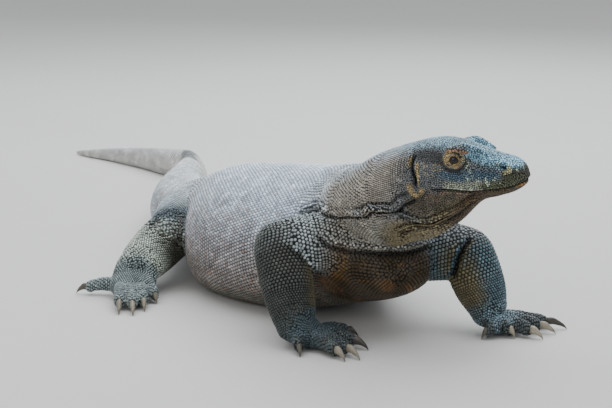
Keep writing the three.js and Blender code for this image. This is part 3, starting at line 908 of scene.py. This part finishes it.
def pitch_at(points):
    in_mm = points / MM
    pitch = 5.9 - 0.5 * smooth_step(250, 330, in_mm[:, 0]) * smooth_step(150, 200, in_mm[:, 2])
    pitch -= 2.0 * smooth_step(-700, -1450, in_mm[:, 0])
    for line, radius, edge, size in PITCH_ZONES:
        pitch = pitch + (size - pitch) * near_share(in_mm, line, radius, edge)
    return pitch


SOLE_HEIGHT, SOLE_FACING = 2.5, -0.5    # no scales below this height where the skin faces down this much
SCALE_HALF = 0.51       # half a scale's length and width, as shares of the pitch
SCALE_HEIGHT = 0.31     # its height, as a share of the pitch
ROW_STEP = 0.866        # from one row to the next, as a share of the pitch


class Coat:
    """The scales' roots on the skin, kept apart from each other by a grid of cells."""

    CELL = 8.0

    def __init__(self, mesh, dark):
        self.skin = mesh
        self.dark = dark
        self.faces = [tuple(face.vertices) for face in mesh.polygons]
        self.tree = tree_of(mesh)
        self.cells = {}
        self.rows = []      # root, normal, ahead, half length, half width, height, along, around, face
        self.patches = []

    def crowded(self, root, reach):
        """Whether a scale's root stands closer than the reach, in millimetres."""
        i, j, k = (int(math.floor(value / self.CELL)) for value in root)
        for a in (i - 1, i, i + 1):
            for b in (j - 1, j, j + 1):
                for c in (k - 1, k, k + 1):
                    for other in self.cells.get((a, b, c), ()):
                        gap = ((root[0] - other[0]) ** 2 + (root[1] - other[1]) ** 2
                               + (root[2] - other[2]) ** 2)
                        if gap < reach * reach:
                            return True
        return False

    def add(self, wanted, ahead, size, patch, along, around, near=0.64, slack=7.0):
        """Puts one scale on the skin nearest to a point, if there is skin and room for it."""
        place, normal, face, _ = self.tree.find_nearest(Vector(wanted) * MM, (slack + 6) * MM)
        if place is None:
            return
        root = place / MM
        offset = Vector(wanted) - root
        if offset.length > slack and offset.dot(normal) > 0 or offset.length > slack + 4:
            return
        if root.z < SOLE_HEIGHT and normal.z < SOLE_FACING or self.crowded(root, near * 2 * min(size[:2])):
            return
        key = tuple(int(math.floor(value / self.CELL)) for value in root)
        self.cells.setdefault(key, []).append(tuple(root))
        self.rows.append((*root, *normal, *ahead, *size, along, around, face))
        self.patches.append(patch)

    def fold_shade_at(self, faces):
        """The folds' painted shade and painted light on these faces."""
        return np.array([np.mean(self.dark[list(self.faces[int(face)])]) for face in faces])


def ring_rows(rows, facing, start, end, patches, coat, aspect, pitch=None, widen=1.0, slack=7.0):
    """Rows of scales round a loft, each row set half a scale off the last, counted from the back's midline.

    The rows' distance is measured where they spread most, on the outside of a bend.
    """
    fine = np.linspace(start, end, 400)
    size = pitch_at(station_at(rows, fine)[:, :3] * MM) if pitch is None else np.full(400, float(pitch))
    edges = surface(rows, fine, np.array([0.0, np.pi / 2, np.pi]), facing)
    gaps = np.linalg.norm(np.diff(edges, axis=0), axis=2).max(1)
    length = np.concatenate([[0], np.cumsum(gaps)])
    steps = np.concatenate([[0], np.cumsum(gaps / (ROW_STEP * aspect * size[1:]))])
    count = int(steps[-1])
    if count < 1:
        return
    places = np.interp(np.arange(count + 1), steps, fine)
    sizes = np.interp(places, fine, size)
    along = np.interp(places, fine, length)
    turns = np.linspace(0, np.pi, 120)
    ahead, _, _ = frames_at(rows, places, facing)
    for side in (1, -1):
        rings = surface(rows, places, np.pi / 2 - side * turns, facing)
        for k in range(count + 1):
            patch = next(name for name, until in patches if places[k] <= until)
            ring = rings[k]
            girth = lengths_along(ring)
            wide = sizes[k] * widen
            first = 0.5 if k % 2 else (0.0 if side > 0 else 1.0)
            spots = np.arange(first * wide, girth[-1], wide)
            shape = (SCALE_HALF * sizes[k] * aspect, SCALE_HALF * wide, SCALE_HEIGHT * sizes[k])
            for spot, point in zip(spots, at_lengths(spots, girth, ring)):
                coat.add(point, ahead[k], shape, patch, along[k], side * spot, slack=slack)


def line_row(line, pitch, size, patch, coat, near=0.7):
    """One row of scales along a line, such as the lips or the brow."""
    line = smooth_line(line, 6)
    length = lengths_along(line)
    spots = np.arange(pitch / 2, length[-1], pitch)
    where = at_lengths(spots, length, line)
    way = unit(np.gradient(where, axis=0))
    for spot, point, ahead in zip(spots, where, way):
        coat.add(point, ahead, size, patch, spot, 0, near=near)


def scatter(coat, apart, half, patch, allowed=None):
    """Scales in no rows, wherever the skin has room for one. Apart and half are shares of the pitch."""
    mesh = coat.skin
    centres, normals = vectors_of(mesh.polygons, "center"), vectors_of(mesh.polygons, "normal")
    wanted = (centres[:, 2] > SOLE_HEIGHT * MM) | (normals[:, 2] > SOLE_FACING)
    wanted &= ~in_eye_opening(centres)
    if allowed is not None:
        wanted &= allowed(centres)
    picked = np.flatnonzero(wanted)
    np.random.default_rng(SEED).shuffle(picked)
    head = in_head(centres[picked])
    around = np.arctan2(head[:, 1], head[:, 2] + 20) * 55
    for face, size, along, turn in zip(picked, pitch_at(centres[picked]), head[:, 0], around):
        root = centres[face] / MM
        if coat.crowded(root, apart * size):
            continue
        ahead = HEAD_AHEAD if patch == "head" else np.array([1.0, 0.2, 0.1])
        ahead = unit(ahead - normals[face] * (normals[face] @ ahead))
        coat.add(root, ahead, (half * size, half * size, 0.5 * half * size), patch, along, turn, near=0.3)


def in_eye_opening(points):
    inside = np.zeros(len(points), bool)
    for side in (-1, 1):
        gap, out, along, above = from_eye(points, side)
        reach = np.hypot(along / (LID_OPENING[0] + 0.8), above / (LID_OPENING[1] + 0.8))
        inside |= (reach < 1) & (out > 0) & (gap < 20)
    return inside


FILLERS = [(0.78, 0.5), (0.64, 0.38)]   # scales that fill gaps between rows: room they need, half size
LID_RINGS = [(1.6, 2.2), (3.5, 2.4), (5.6, 2.7), (8.0, 3.0)]     # distance from the opening, pitch
LIP_ROWS = [(3.8, 5.0, 2.2), (-3.6, 4.8, 2.0)]      # height over the mouth's line, pitch, half width
BROW_ROW = [[46, 40, 33], [58, 42, 36], [68, 42, 36], [78, 41, 33]]


def lay_scales(mesh, dark):
    coat = Coat(mesh, dark)
    for side in (-1, 1):
        mark = "right" if side < 0 else "left"
        line_row(head_line(BROW_ROW, side), 5.4, (2.9, 2.5, 1.7), "brow_" + mark, coat)
        middle, gaze, ahead, up = eye_frame(side)
        turn = np.linspace(0, 2 * np.pi, 40)
        for ring, (out, step) in enumerate(LID_RINGS):
            circle = (middle + np.outer(np.cos(turn), ahead) * (LID_OPENING[0] + out)
                      + np.outer(np.sin(turn), up) * (LID_OPENING[1] + out) + gaze * (9.5 - 0.8 * out))
            line_row(circle, step, (0.56 * step, 0.5 * step, 0.7), f"lid_{mark}_{ring}", coat)
        lips = np.array(MOUTH[1:-1], float)
        for row, (up_by, step, wide) in enumerate(LIP_ROWS):
            line_row(head_line(lips + [0, 0, up_by], side), step, (2.7, wide, 1.2), f"lip_{mark}_{row}", coat)
        for row, rows in enumerate(THROAT_FOLDS):
            line, _ = on_skin(coat.tree, smooth_line(head_line(rows, side), 2))
            line_row(line, 3.4, (2.3, 1.9, 1.3), f"head_fold_{mark}_{row}", coat, near=0.5)
    scatter(coat, 0.82, 0.52, "head", lambda points: head_share(points) > 0.62)
    for name, parts in PARTS.items():
        for index, digit in enumerate(parts["digits"]):
            ring_rows(digit, None, 0.25, 3.95, [[f"{name}_digit_{index}", 9]], coat, aspect=1.1, pitch=4.2,
                      widen=1.5, slack=4.0)
        for key, start, end in (("sole", 0.9, 3.8), ("lower", 1.3, 6.3), ("upper", 0.3, 3.7)):
            rows, facing = parts["lengths"][key]
            ring_rows(rows, facing, start, end, [[f"{name}_{key}", 9]], coat, aspect=0.95)
    ring_rows(THROAT, None, 0.9, len(NECK) + 0.4, [["neck", 99]], coat, aspect=1.6, slack=6.0)
    ring_rows(TRUNK, None, 0.05, 14.9, TRUNK_PATCHES, coat, aspect=1.35)
    for apart, half in FILLERS:
        scatter(coat, apart, half, "filler")
    return coat


def piece_of(patch):
    """The coat piece that a patch belongs to."""
    if patch in ("tail", "loin", "belly", "chest", "neck"):
        return patch
    if patch.startswith(("head", "lip", "brow", "lid")):
        return "head"
    return "_".join(patch.split("_")[:2])


def shelf_map(sizes):
    """Places rectangles of the given sizes side by side in a square: their corners and the common scale."""
    edge, gap = 0.01, 0.006
    for scale in np.geomspace(20, 0.2, 240):
        corners, x, y, shelf = {}, edge, edge, 0.0
        for name, (wide, high) in sorted(sizes.items(), key=lambda item: -item[1][1]):
            w, h = wide * scale, high * scale
            if x + w > 1 - edge:
                x, y, shelf = edge, y + shelf + gap, 0.0
            if w > 1 - 2 * edge or y + h > 1 - edge:
                break
            corners[name] = (x, y)
            x += w + gap
            shelf = max(shelf, h)
        else:
            return corners, scale
    raise ValueError("the patches don't fit")


PATCH = 0.003           # width of one scale on its unwrap
PIECE_SCALES = 8900     # the most scales in one mesh


def take_from_neighbours(patches, roots, normals, ahead, along, around):
    """Gives each scale that fills a gap the patch, lie and unwrap place of the nearest one in a row."""
    loose = patches == "filler"
    tree = KDTree(int((~loose).sum()))
    for index in np.flatnonzero(~loose):
        tree.insert(roots[index], int(index))
    tree.balance()
    for index in np.flatnonzero(loose):
        nearest = tree.find(roots[index])[1]
        way = roots[index] - roots[nearest]
        forward = unit(ahead[nearest] - normals[nearest] * (ahead[nearest] @ normals[nearest]))
        patches[index] = patches[nearest]
        ahead[index] = ahead[nearest]
        along[index] = along[nearest] + way @ forward
        around[index] = around[nearest] + way @ np.cross(normals[nearest], forward)


TONE_SPREAD, SIZE_SPREAD = 0.2, 0.06    # how much single scales differ in colour and in size
UNFLECKED = 0.88    # the share of the trunk's scales that carry no rusty fleck
FLECK_TONE, FLECK_UNDER, FLECK_OVER = "b07a58", 0.6, 0.4


def build_scales(coat):
    """Joined meshes of scales, one for each part of the body, with their markings and their unwrap."""
    numbers = np.array(coat.rows, float)
    patches = np.array(coat.patches, dtype=object)
    roots, normals, ahead = numbers[:, :3], unit(numbers[:, 3:6]), numbers[:, 6:9]
    shape, along, around = numbers[:, 9:12], numbers[:, 12], numbers[:, 13]
    take_from_neighbours(patches, roots, normals, ahead, along, around)
    ahead = unit(ahead - normals * (ahead * normals).sum(1)[:, None])
    left = np.cross(normals, ahead)
    random = np.random.default_rng(SEED)
    hides = markings(roots * MM, normals, coat.fold_shade_at(numbers[:, 14]))
    hides[0] = hides[0] * np.exp(random.normal(0, TONE_SPREAD, len(roots)))[:, None]
    x, _, z = roots.T
    on_trunk = np.isin([piece_of(patch) for patch in patches], ["belly", "chest", "loin"])
    flecked = on_trunk & (random.random(len(roots)) > UNFLECKED) & (z < 190) & (z > 20) & (x < 320)
    hides[0][flecked] = hides[0][flecked] * FLECK_UNDER + tone(FLECK_TONE) * FLECK_OVER
    shape = shape * (1 + random.normal(0, SIZE_SPREAD, shape.shape))
    pieces = {}
    for index, patch in enumerate(patches):
        pieces.setdefault(piece_of(patch), []).append(index)
    for name, members in pieces.items():
        members = np.array(members)
        parts = int(np.ceil(len(members) / PIECE_SCALES))
        order = members[np.argsort(roots[members, 1], kind="stable")] if parts > 1 else members
        for part, chosen in enumerate(np.array_split(order, parts)):
            label = f"scales_{name}" + (f"_{part + 1}" if parts > 1 else "")
            yield name, scale_mesh(label, roots[chosen], (ahead[chosen], left[chosen], normals[chosen]),
                                   shape[chosen], [hide[chosen] for hide in hides], patches[chosen],
                                   np.stack([along[chosen], around[chosen]], 1))


def scale_mesh(label, roots, axes, shape, hides, patches, here):
    template, faces, crown = dome()
    count, corners = len(roots), len(template)
    size = shape[:, None, :] * template[None]
    points = roots[:, None] + sum(size[..., k:k + 1] * axes[k][:, None] for k in range(3))
    points[..., 2] = np.maximum(points[..., 2], 0.3)
    all_faces = (faces[None] + (np.arange(count) * corners)[:, None, None]).reshape(-1, 3)
    mesh = bpy.data.meshes.new(label)
    mesh.vertices.add(count * corners)
    mesh.vertices.foreach_set("co", (points.reshape(-1, 3) * MM).ravel())
    mesh.loops.add(len(all_faces) * 3)
    mesh.loops.foreach_set("vertex_index", all_faces.ravel())
    mesh.polygons.add(len(all_faces))
    mesh.polygons.foreach_set("loop_start", np.arange(0, len(all_faces) * 3, 3))
    mesh.update(calc_edges=True)
    mesh.shade_smooth()
    for name, hide in zip(("scale_tone", "skin_tone"), hides):
        paint(mesh, name, np.repeat(hide, corners, 0))
    measure(mesh, "crown", np.tile(crown, count))
    names, tile = np.unique(patches.astype(str), return_inverse=True)
    sizes, lows = {}, {}
    for k, patch in enumerate(names):
        low, high = here[tile == k].min(0) - 3, here[tile == k].max(0) + 3
        sizes[patch], lows[patch] = tuple((high - low) / 1000), low
    corner_of, scale = shelf_map(sizes)
    low = np.array([lows[patch] for patch in names])[tile]
    place = np.array([corner_of[patch] for patch in names])[tile] + (here - low) / 1000 * scale
    flat = place[:, None] + template[None, :, :2] * PATCH / 2
    layer = mesh.uv_layers.new(name="OFBake")
    layer.data.foreach_set("uv", flat.reshape(-1, 2)[all_faces.ravel()].ravel())
    return add_object(label, mesh)


def paint(mesh, name, colours):
    layer = mesh.attributes.new(name, "FLOAT_COLOR", "POINT")
    layer.data.foreach_set("color", np.column_stack([colours, np.ones(len(colours))]).ravel())


def measure(mesh, name, values):
    mesh.attributes.new(name, "FLOAT", "POINT").data.foreach_set("value", np.asarray(values, float))


# ---------------------------------------------------------------- finishes

RELIEF = 0.0006     # depth of the grain of a surface, in metres


def node_group(name, inputs, outputs):
    group = bpy.data.node_groups.new(name, "ShaderNodeTree")
    for label, kind, value in inputs:
        made = group.interface.new_socket(label, in_out="INPUT", socket_type=kind)
        if value is not None:
            made.default_value = value
    for label, kind in outputs:
        group.interface.new_socket(label, in_out="OUTPUT", socket_type=kind)
    return group, group.nodes.new("NodeGroupInput"), group.nodes.new("NodeGroupOutput")


class Wiring:
    """Adds nodes to a tree and links them by name."""

    def __init__(self, tree):
        self.tree = tree

    def node(self, kind, **settings):
        made = self.tree.nodes.new(kind)
        for key, value in settings.items():
            setattr(made, key, value)
        return made

    def link(self, source, target):
        self.tree.links.new(source, target)

    def put(self, target, value):
        if isinstance(value, bpy.types.NodeSocket):
            self.link(value, target)
        else:
            target.default_value = value

    def value_of(self, kind, inputs, output, **settings):
        """One output of a new node with the given inputs, each a number or another node's output."""
        made = self.node(kind, **settings)
        for key, value in inputs.items():
            self.put(made.inputs[key], value)
        return made.outputs[output]

    def noise(self, scale, detail=3.0):
        place = self.node("ShaderNodeTexCoord").outputs["Object"]
        inputs = {"Scale": scale, "Detail": detail, "Roughness": 0.55, "Vector": place}
        return self.value_of("ShaderNodeTexNoise", inputs, "Fac")

    def range(self, value, low, high, to_low, to_high):
        inputs = {"Value": value, "From Min": low, "From Max": high, "To Min": to_low, "To Max": to_high}
        return self.value_of("ShaderNodeMapRange", inputs, "Result", clamp=True)

    def mix(self, factor, first, second):
        return self.value_of("ShaderNodeMix", {0: factor, 6: first, 7: second}, 2, data_type="RGBA")

    def math(self, way, first, second):
        return self.value_of("ShaderNodeMath", {0: first, 1: second}, 0, operation=way)

    def scaled(self, colour, by):
        return self.value_of("ShaderNodeVectorMath", {0: colour, "Scale": by}, 0, operation="SCALE")

    def attribute(self, name, output):
        return self.value_of("ShaderNodeAttribute", {}, output, attribute_name=name)


def mottle_group():
    """Fine unevenness of hide: lighter and darker patches, dust, and the grain of the surface."""
    group, given, result = node_group(
        "hide_mottle",
        [("Colour", "NodeSocketColor", None), ("Patch Size", "NodeSocketFloat", 40.0),
         ("Grain Size", "NodeSocketFloat", 900.0), ("Contrast", "NodeSocketFloat", 0.3),
         ("Dust", "NodeSocketFloat", 0.1), ("Dry Roughness", "NodeSocketFloat", 0.62),
         ("Sleek Roughness", "NodeSocketFloat", 0.38)],
        [("Colour", "NodeSocketColor"), ("Roughness", "NodeSocketFloat"), ("Height", "NodeSocketFloat")])
    wire = Wiring(group)
    given, said = given.outputs, result.inputs
    patches = wire.noise(given["Patch Size"])
    grain = wire.noise(given["Grain Size"], 2.0)
    light = wire.math("MULTIPLY", wire.range(patches, 0.3, 0.7, -0.5, 0.5), given["Contrast"])
    fine = wire.math("MULTIPLY", wire.range(grain, 0.25, 0.75, -0.3, 0.3), given["Contrast"])
    gain = wire.math("ADD", wire.math("ADD", light, fine), 1.0)
    toned = wire.scaled(given["Colour"], gain)
    dust = wire.math("MULTIPLY", wire.range(wire.noise(24.0, 5.0), 0.42, 0.72, 0.0, 1.0), given["Dust"])
    wire.link(wire.mix(dust, toned, (0.30, 0.26, 0.22, 1)), said["Colour"])
    wire.link(wire.range(patches, 0.35, 0.65, given["Sleek Roughness"], given["Dry Roughness"]),
              said["Roughness"])
    wire.link(grain, said["Height"])
    return group


def new_material(name):
    material = bpy.data.materials.new(name)
    material.use_nodes = True
    return material, Wiring(material.node_tree), material.node_tree.nodes["Principled BSDF"]


def fill(node, settings):
    for key, value in settings.items():
        node.inputs[key].default_value = value


def ink(code):
    return (*tone(code), 1)


def hide_finish(wire, shader, mottle, colour, settings, bump):
    placed = wire.node("ShaderNodeGroup")
    placed.node_tree = mottle
    wire.link(colour, placed.inputs["Colour"])
    fill(placed, settings)
    wire.link(placed.outputs["Colour"], shader.inputs["Base Color"])
    wire.link(placed.outputs["Roughness"], shader.inputs["Roughness"])
    relief = wire.node("ShaderNodeBump")
    fill(relief, {"Strength": bump, "Distance": RELIEF})
    wire.link(placed.outputs["Height"], relief.inputs["Height"])
    wire.link(relief.outputs["Normal"], shader.inputs["Normal"])


def scale_finish(name, mottle, settings):
    """Scales: dark where they meet the skin, light on their crowns: the skin between them has its own dark
    tone, and the darkening up each dome's sides is painted shade.
    """
    material, wire, shader = new_material(name)
    crown = wire.attribute("crown", "Fac")
    # Each dome blends from the skin's tone low down to the scale's tone on its crown: painted shade on its
    # sides.
    edge = wire.range(crown, 0.25, 0.85, 0.0, 1.0)
    colour = wire.mix(edge, wire.attribute("skin_tone", "Color"), wire.attribute("scale_tone", "Color"))
    hide_finish(wire, shader, mottle, colour, settings, 0.25)
    fill(shader, {"Specular IOR Level": 0.42})
    return material


def skin_finish(mottle):
    material, wire, shader = new_material("bare_skin")
    hide_finish(wire, shader, mottle, wire.attribute("skin_tone", "Color"),
                {"Contrast": 0.4, "Dust": 0.05, "Dry Roughness": 0.8, "Sleek Roughness": 0.6}, 0.4)
    fill(shader, {"Specular IOR Level": 0.25})
    return material


def lid_finish(mottle):
    material, wire, shader = new_material("eyelid")
    colour = wire.mix(wire.range(wire.noise(300.0, 2.0), 0.42, 0.58, 0.0, 1.0),
                      ink("a88c58"), ink("3a2716"))
    hide_finish(wire, shader, mottle, colour, {"Grain Size": 1600.0, "Dust": 0.0}, 0.5)
    return material


def horn_finish(mottle):
    """Claw horn: dark or pale by claw, streaked along its length."""
    material, wire, shader = new_material("claw_horn")
    pale = wire.attribute("pale", "Fac")
    length = wire.attribute("length", "Fac")
    base = wire.mix(pale, ink("1d1b19"), ink("948c7a"))
    worn = wire.mix(wire.range(length, 0.55, 1.0, 0.0, 0.55), base, ink("2e2a25"))
    rooted = wire.mix(wire.range(length, 0.0, 0.22, 0.7, 0.0), worn, ink("24211d"))
    hide_finish(wire, shader, mottle, rooted,
                {"Patch Size": 160.0, "Grain Size": 1400.0, "Contrast": 0.5, "Dust": 0.15,
                 "Dry Roughness": 0.5, "Sleek Roughness": 0.32}, 0.35)
    return material


def eye_finish():
    """A wet eyeball: black pupil, dark brown iris with a gold rim, dark beyond."""
    material, wire, shader = new_material("eyeball")
    ramp = wire.node("ShaderNodeValToRGB")
    bands = [(0.0, "010101"), (0.27, "020101"), (0.33, "1d1209"), (0.46, "2a1a0c"), (0.56, "120b06"),
             (0.66, "3a2a14"), (0.75, "0c0907")]
    ramp.color_ramp.elements.remove(ramp.color_ramp.elements[1])
    for k, (place, code) in enumerate(bands):
        stop = ramp.color_ramp.elements[0] if k == 0 else ramp.color_ramp.elements.new(place)
        stop.position = place
        stop.color = ink(code)
    wire.link(wire.attribute("off_gaze", "Fac"), ramp.inputs["Fac"])
    fibre = wire.range(wire.noise(2600.0, 2.0), 0.3, 0.7, 0.7, 1.3)
    wire.link(wire.scaled(ramp.outputs["Color"], fibre), shader.inputs["Base Color"])
    fill(shader, {"Roughness": 0.1, "Specular IOR Level": 0.25, "Coat Weight": 0.35, "Coat Roughness": 0.03})
    return material


def floor_finish():
    material, wire, shader = new_material("pale_floor")
    colour = wire.mix(wire.noise(0.8, 3.0), (0.56, 0.545, 0.52, 1), (0.64, 0.625, 0.60, 1))
    wire.link(colour, shader.inputs["Base Color"])
    fill(shader, {"Roughness": 0.9})
    return material


# ---------------------------------------------------------------- eyes, lids and claws

def place_piece(made, slot, material, *nodes):
    made.data.materials.append(material)
    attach(made, "root")
    if nodes:
        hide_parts(*nodes)


def build_eye(side, material):
    middle, gaze, _, _ = eye_frame(side)
    rings, sides = 40, 48
    tilt = np.linspace(0.03, np.pi - 0.03, rings)
    turn = 2 * np.pi * np.arange(sides) / sides
    first = unit(np.cross(gaze, UP))
    second = np.cross(gaze, first)
    round_about = np.cos(turn)[:, None] * first + np.sin(turn)[:, None] * second
    reach = EYE_RADIUS + 0.5 * np.exp(-(tilt / 0.45) ** 2)       # the cornea stands a little proud
    points = (middle + (np.cos(tilt) * reach)[:, None, None] * gaze
              + (np.sin(tilt) * reach)[:, None, None] * round_about)
    points, faces = tube(points[::-1])
    made = mesh_object("eyeball_right" if side < 0 else "eyeball_left", points * MM, faces)
    angle = np.arccos(np.clip(unit(points - middle) @ gaze, -1, 1))
    measure(made.data, "off_gaze", angle / (np.pi / 2))
    place_piece(made, "eye", material, "eye_right" if side < 0 else "eye_left")


def lid_rim(side):
    """The swollen edge of the lids, a closed ring round the opening."""
    middle, gaze, ahead, up = eye_frame(side)
    turn = 2 * np.pi * np.arange(56) / 56
    along = np.cos(turn) * LID_OPENING[0]
    above = np.sin(turn) * LID_OPENING[1] * (1 - 0.16 * np.cos(turn))
    flat = np.hypot(along, above)
    out = np.sqrt(np.maximum((EYE_RADIUS + 0.7) ** 2 - flat ** 2, 0))
    line = middle + along[:, None] * ahead + above[:, None] * up + out[:, None] * gaze
    way = unit(np.roll(line, -1, 0) - np.roll(line, 1, 0))
    outward = unit(line - middle)
    across = np.cross(way, outward)
    spin = 2 * np.pi * np.arange(10) / 10
    thick = 0.75 + 0.25 * np.abs(np.sin(turn * 3))[:, None, None]
    rings = line[:, None] + thick * (np.cos(spin)[None, :, None] * outward[:, None] * 0.9
                                     + np.sin(spin)[None, :, None] * across[:, None] * 1.25)
    count, sides = rings.shape[:2]
    return rings.reshape(-1, 3), ring_faces(count, sides, count)


def build_claw(name, index, rows, pale, material):
    per, sides = 10, 14
    points, faces = loft(rows, grow=-0.15, per=per, sides=sides)
    made = mesh_object(f"{name}_horn_{index + 1}", points * MM, faces)
    places = places_on(rows, per)
    length = np.repeat(places / places[-1], sides)
    measure(made.data, "length", np.concatenate([length, [0, 1]]))
    measure(made.data, "pale", np.full(len(points), pale))
    place_piece(made, "claw", material, f"{name}_claw_{index + 1}")


# ---------------------------------------------------------------- the whole animal

SLOTS = {"tail": "hide_tail", "loin": "hide_trunk", "belly": "hide_trunk", "chest": "hide_trunk",
         "neck": "hide_neck", "head": "hide_head"}
STANDS_FOR = {"tail": ["tail_end", "tail_middle", "tail_root"], "loin": ["pelvis"], "belly": ["belly"],
              "chest": ["chest"], "neck": ["neck"], "head": ["head", "lower_jaw"]}
for leg_name in LEGS:
    SLOTS[leg_name] = "hide_leg"
    STANDS_FOR[leg_name] = [f"{leg_name}_{part}" for part in ("upper", "lower", "foot")]


def thin_out(skin, most):
    """Fewer faces where the skin is plain, keeping those of the head, the throat and the neck's fold."""
    mesh = skin.data
    faces = sum(len(face.vertices) - 2 for face in mesh.polygons)
    if faces <= most:
        return
    points = points_of(mesh) / MM
    plain = np.ones(len(points), bool)
    for line, radius in KEPT_ZONES:
        plain &= near_line(points, line)[0] > radius
    group = skin.vertex_groups.new(name="plain")
    group.add(np.flatnonzero(plain).tolist(), 1.0, "REPLACE")
    less = skin.modifiers.new("fewer", "DECIMATE")
    less.ratio = most / faces
    less.vertex_group = "plain"
    less.use_collapse_triangulate = True
    apply_modifiers(skin)
    skin.vertex_groups.clear()


def join_rims(skin):
    """Adds the lids' edges to the skin as closed rings, with a material of their own."""
    points, faces = points_of(skin.data), [list(face.vertices) for face in skin.data.polygons]
    own = len(faces)
    for side in (-1, 1):
        more, theirs = lid_rim(side)
        faces += [[k + len(points) for k in face] for face in theirs]
        points = np.concatenate([points, more * MM])
    mesh = bpy.data.meshes.new("skin")
    mesh.from_pydata(points.tolist(), [], faces)
    mesh.shade_smooth()
    mesh.polygons.foreach_set("material_index", [0] * own + [1] * (len(faces) - own))
    old, skin.data = skin.data, mesh
    bpy.data.meshes.remove(old)


def build_dragon():
    mottle = mottle_group()
    skin = join_flesh()
    coat = lay_scales(skin.data, sculpt(skin))
    body = scale_finish("body_scales", mottle, {"Contrast": 0.35, "Dust": 0.18})
    sleek = scale_finish("sleek_scales", mottle, {"Contrast": 0.3, "Dust": 0.06, "Dry Roughness": 0.5,
                                                  "Sleek Roughness": 0.28})
    for name, piece in build_scales(coat):
        place_piece(piece, SLOTS[name], sleek if "fore" in name or name == "head" else body,
                    *STANDS_FOR[name])
    thin_out(skin, SKIN_FACES)
    join_rims(skin)
    points, normals = points_of(skin.data), normals_of(skin.data)
    dark = coat.fold_shade_at([coat.tree.find_nearest(Vector(point))[2] for point in points])
    paint(skin.data, "skin_tone", markings(points, normals, dark)[1])
    every = sorted({node for nodes in STANDS_FOR.values() for node in nodes})
    place_piece(skin, "hide_trunk", skin_finish(mottle), *every)
    skin.data.materials.append(lid_finish(mottle))
    eye, horn = eye_finish(), horn_finish(mottle)
    for side in (-1, 1):
        build_eye(side, eye)
    for name, parts in PARTS.items():
        for index, rows in enumerate(parts["claws"]):
            build_claw(name, index, rows, LEGS[name]["pale"][index], horn)


# ---------------------------------------------------------------- floor, light and camera

def build_floor():
    size = 30
    floor = mesh_object("floor", [[-size, -size, 0], [size, -size, 0], [size, size, 0], [-size, size, 0]],
                        [[0, 1, 2, 3]], smooth=False)
    floor.data.materials.append(floor_finish())


def soft_light(name, place, aim, size, power, colour):
    data = bpy.data.lights.new(name, "AREA")
    data.shape, data.size, data.size_y = "RECTANGLE", *size
    data.energy, data.color = power, colour
    made = add_object(name, data)
    made.location = place
    made.rotation_euler = (Vector(aim) - Vector(place)).to_track_quat("-Z", "Y").to_euler()


def build_light():
    soft_light("sky_panel", (-0.3, 0.3, 3.0), (0, 0, 0), (4.4, 3.4), 134, (0.93, 0.97, 1.0))
    soft_light("back_panel", (-2.2, 2.0, 2.2), (0, 0, 0.1), (2.2, 1.6), 56, (0.9, 0.96, 1.0))
    soft_light("front_panel", (2.4, -2.6, 1.8), (0.1, 0, 0.15), (2.0, 1.4), 26, (1.0, 0.97, 0.93))
    world = bpy.data.worlds.new("studio")
    world.use_nodes = True
    fill(world.node_tree.nodes["Background"], {"Color": (0.82, 0.85, 0.90, 1), "Strength": 0.8})
    bpy.context.scene.world = world


CAMERA_AT = (2.645, -1.458, 0.80)
CAMERA_LEVEL_WAY = (-0.8660, 0.5)
CAMERA_DIP = math.radians(12)
CAMERA_LENS = 102.1


def build_camera():
    data = bpy.data.cameras.new("camera")
    data.lens, data.sensor_width = CAMERA_LENS, 36
    made = add_object("camera", data)
    made.location = CAMERA_AT
    way = Vector((*(math.cos(CAMERA_DIP) * part for part in CAMERA_LEVEL_WAY), -math.sin(CAMERA_DIP)))
    made.rotation_euler = way.to_track_quat("-Z", "Y").to_euler()
    bpy.context.scene.camera = made


build_camera()
build_floor()
build_light()
build_dragon()
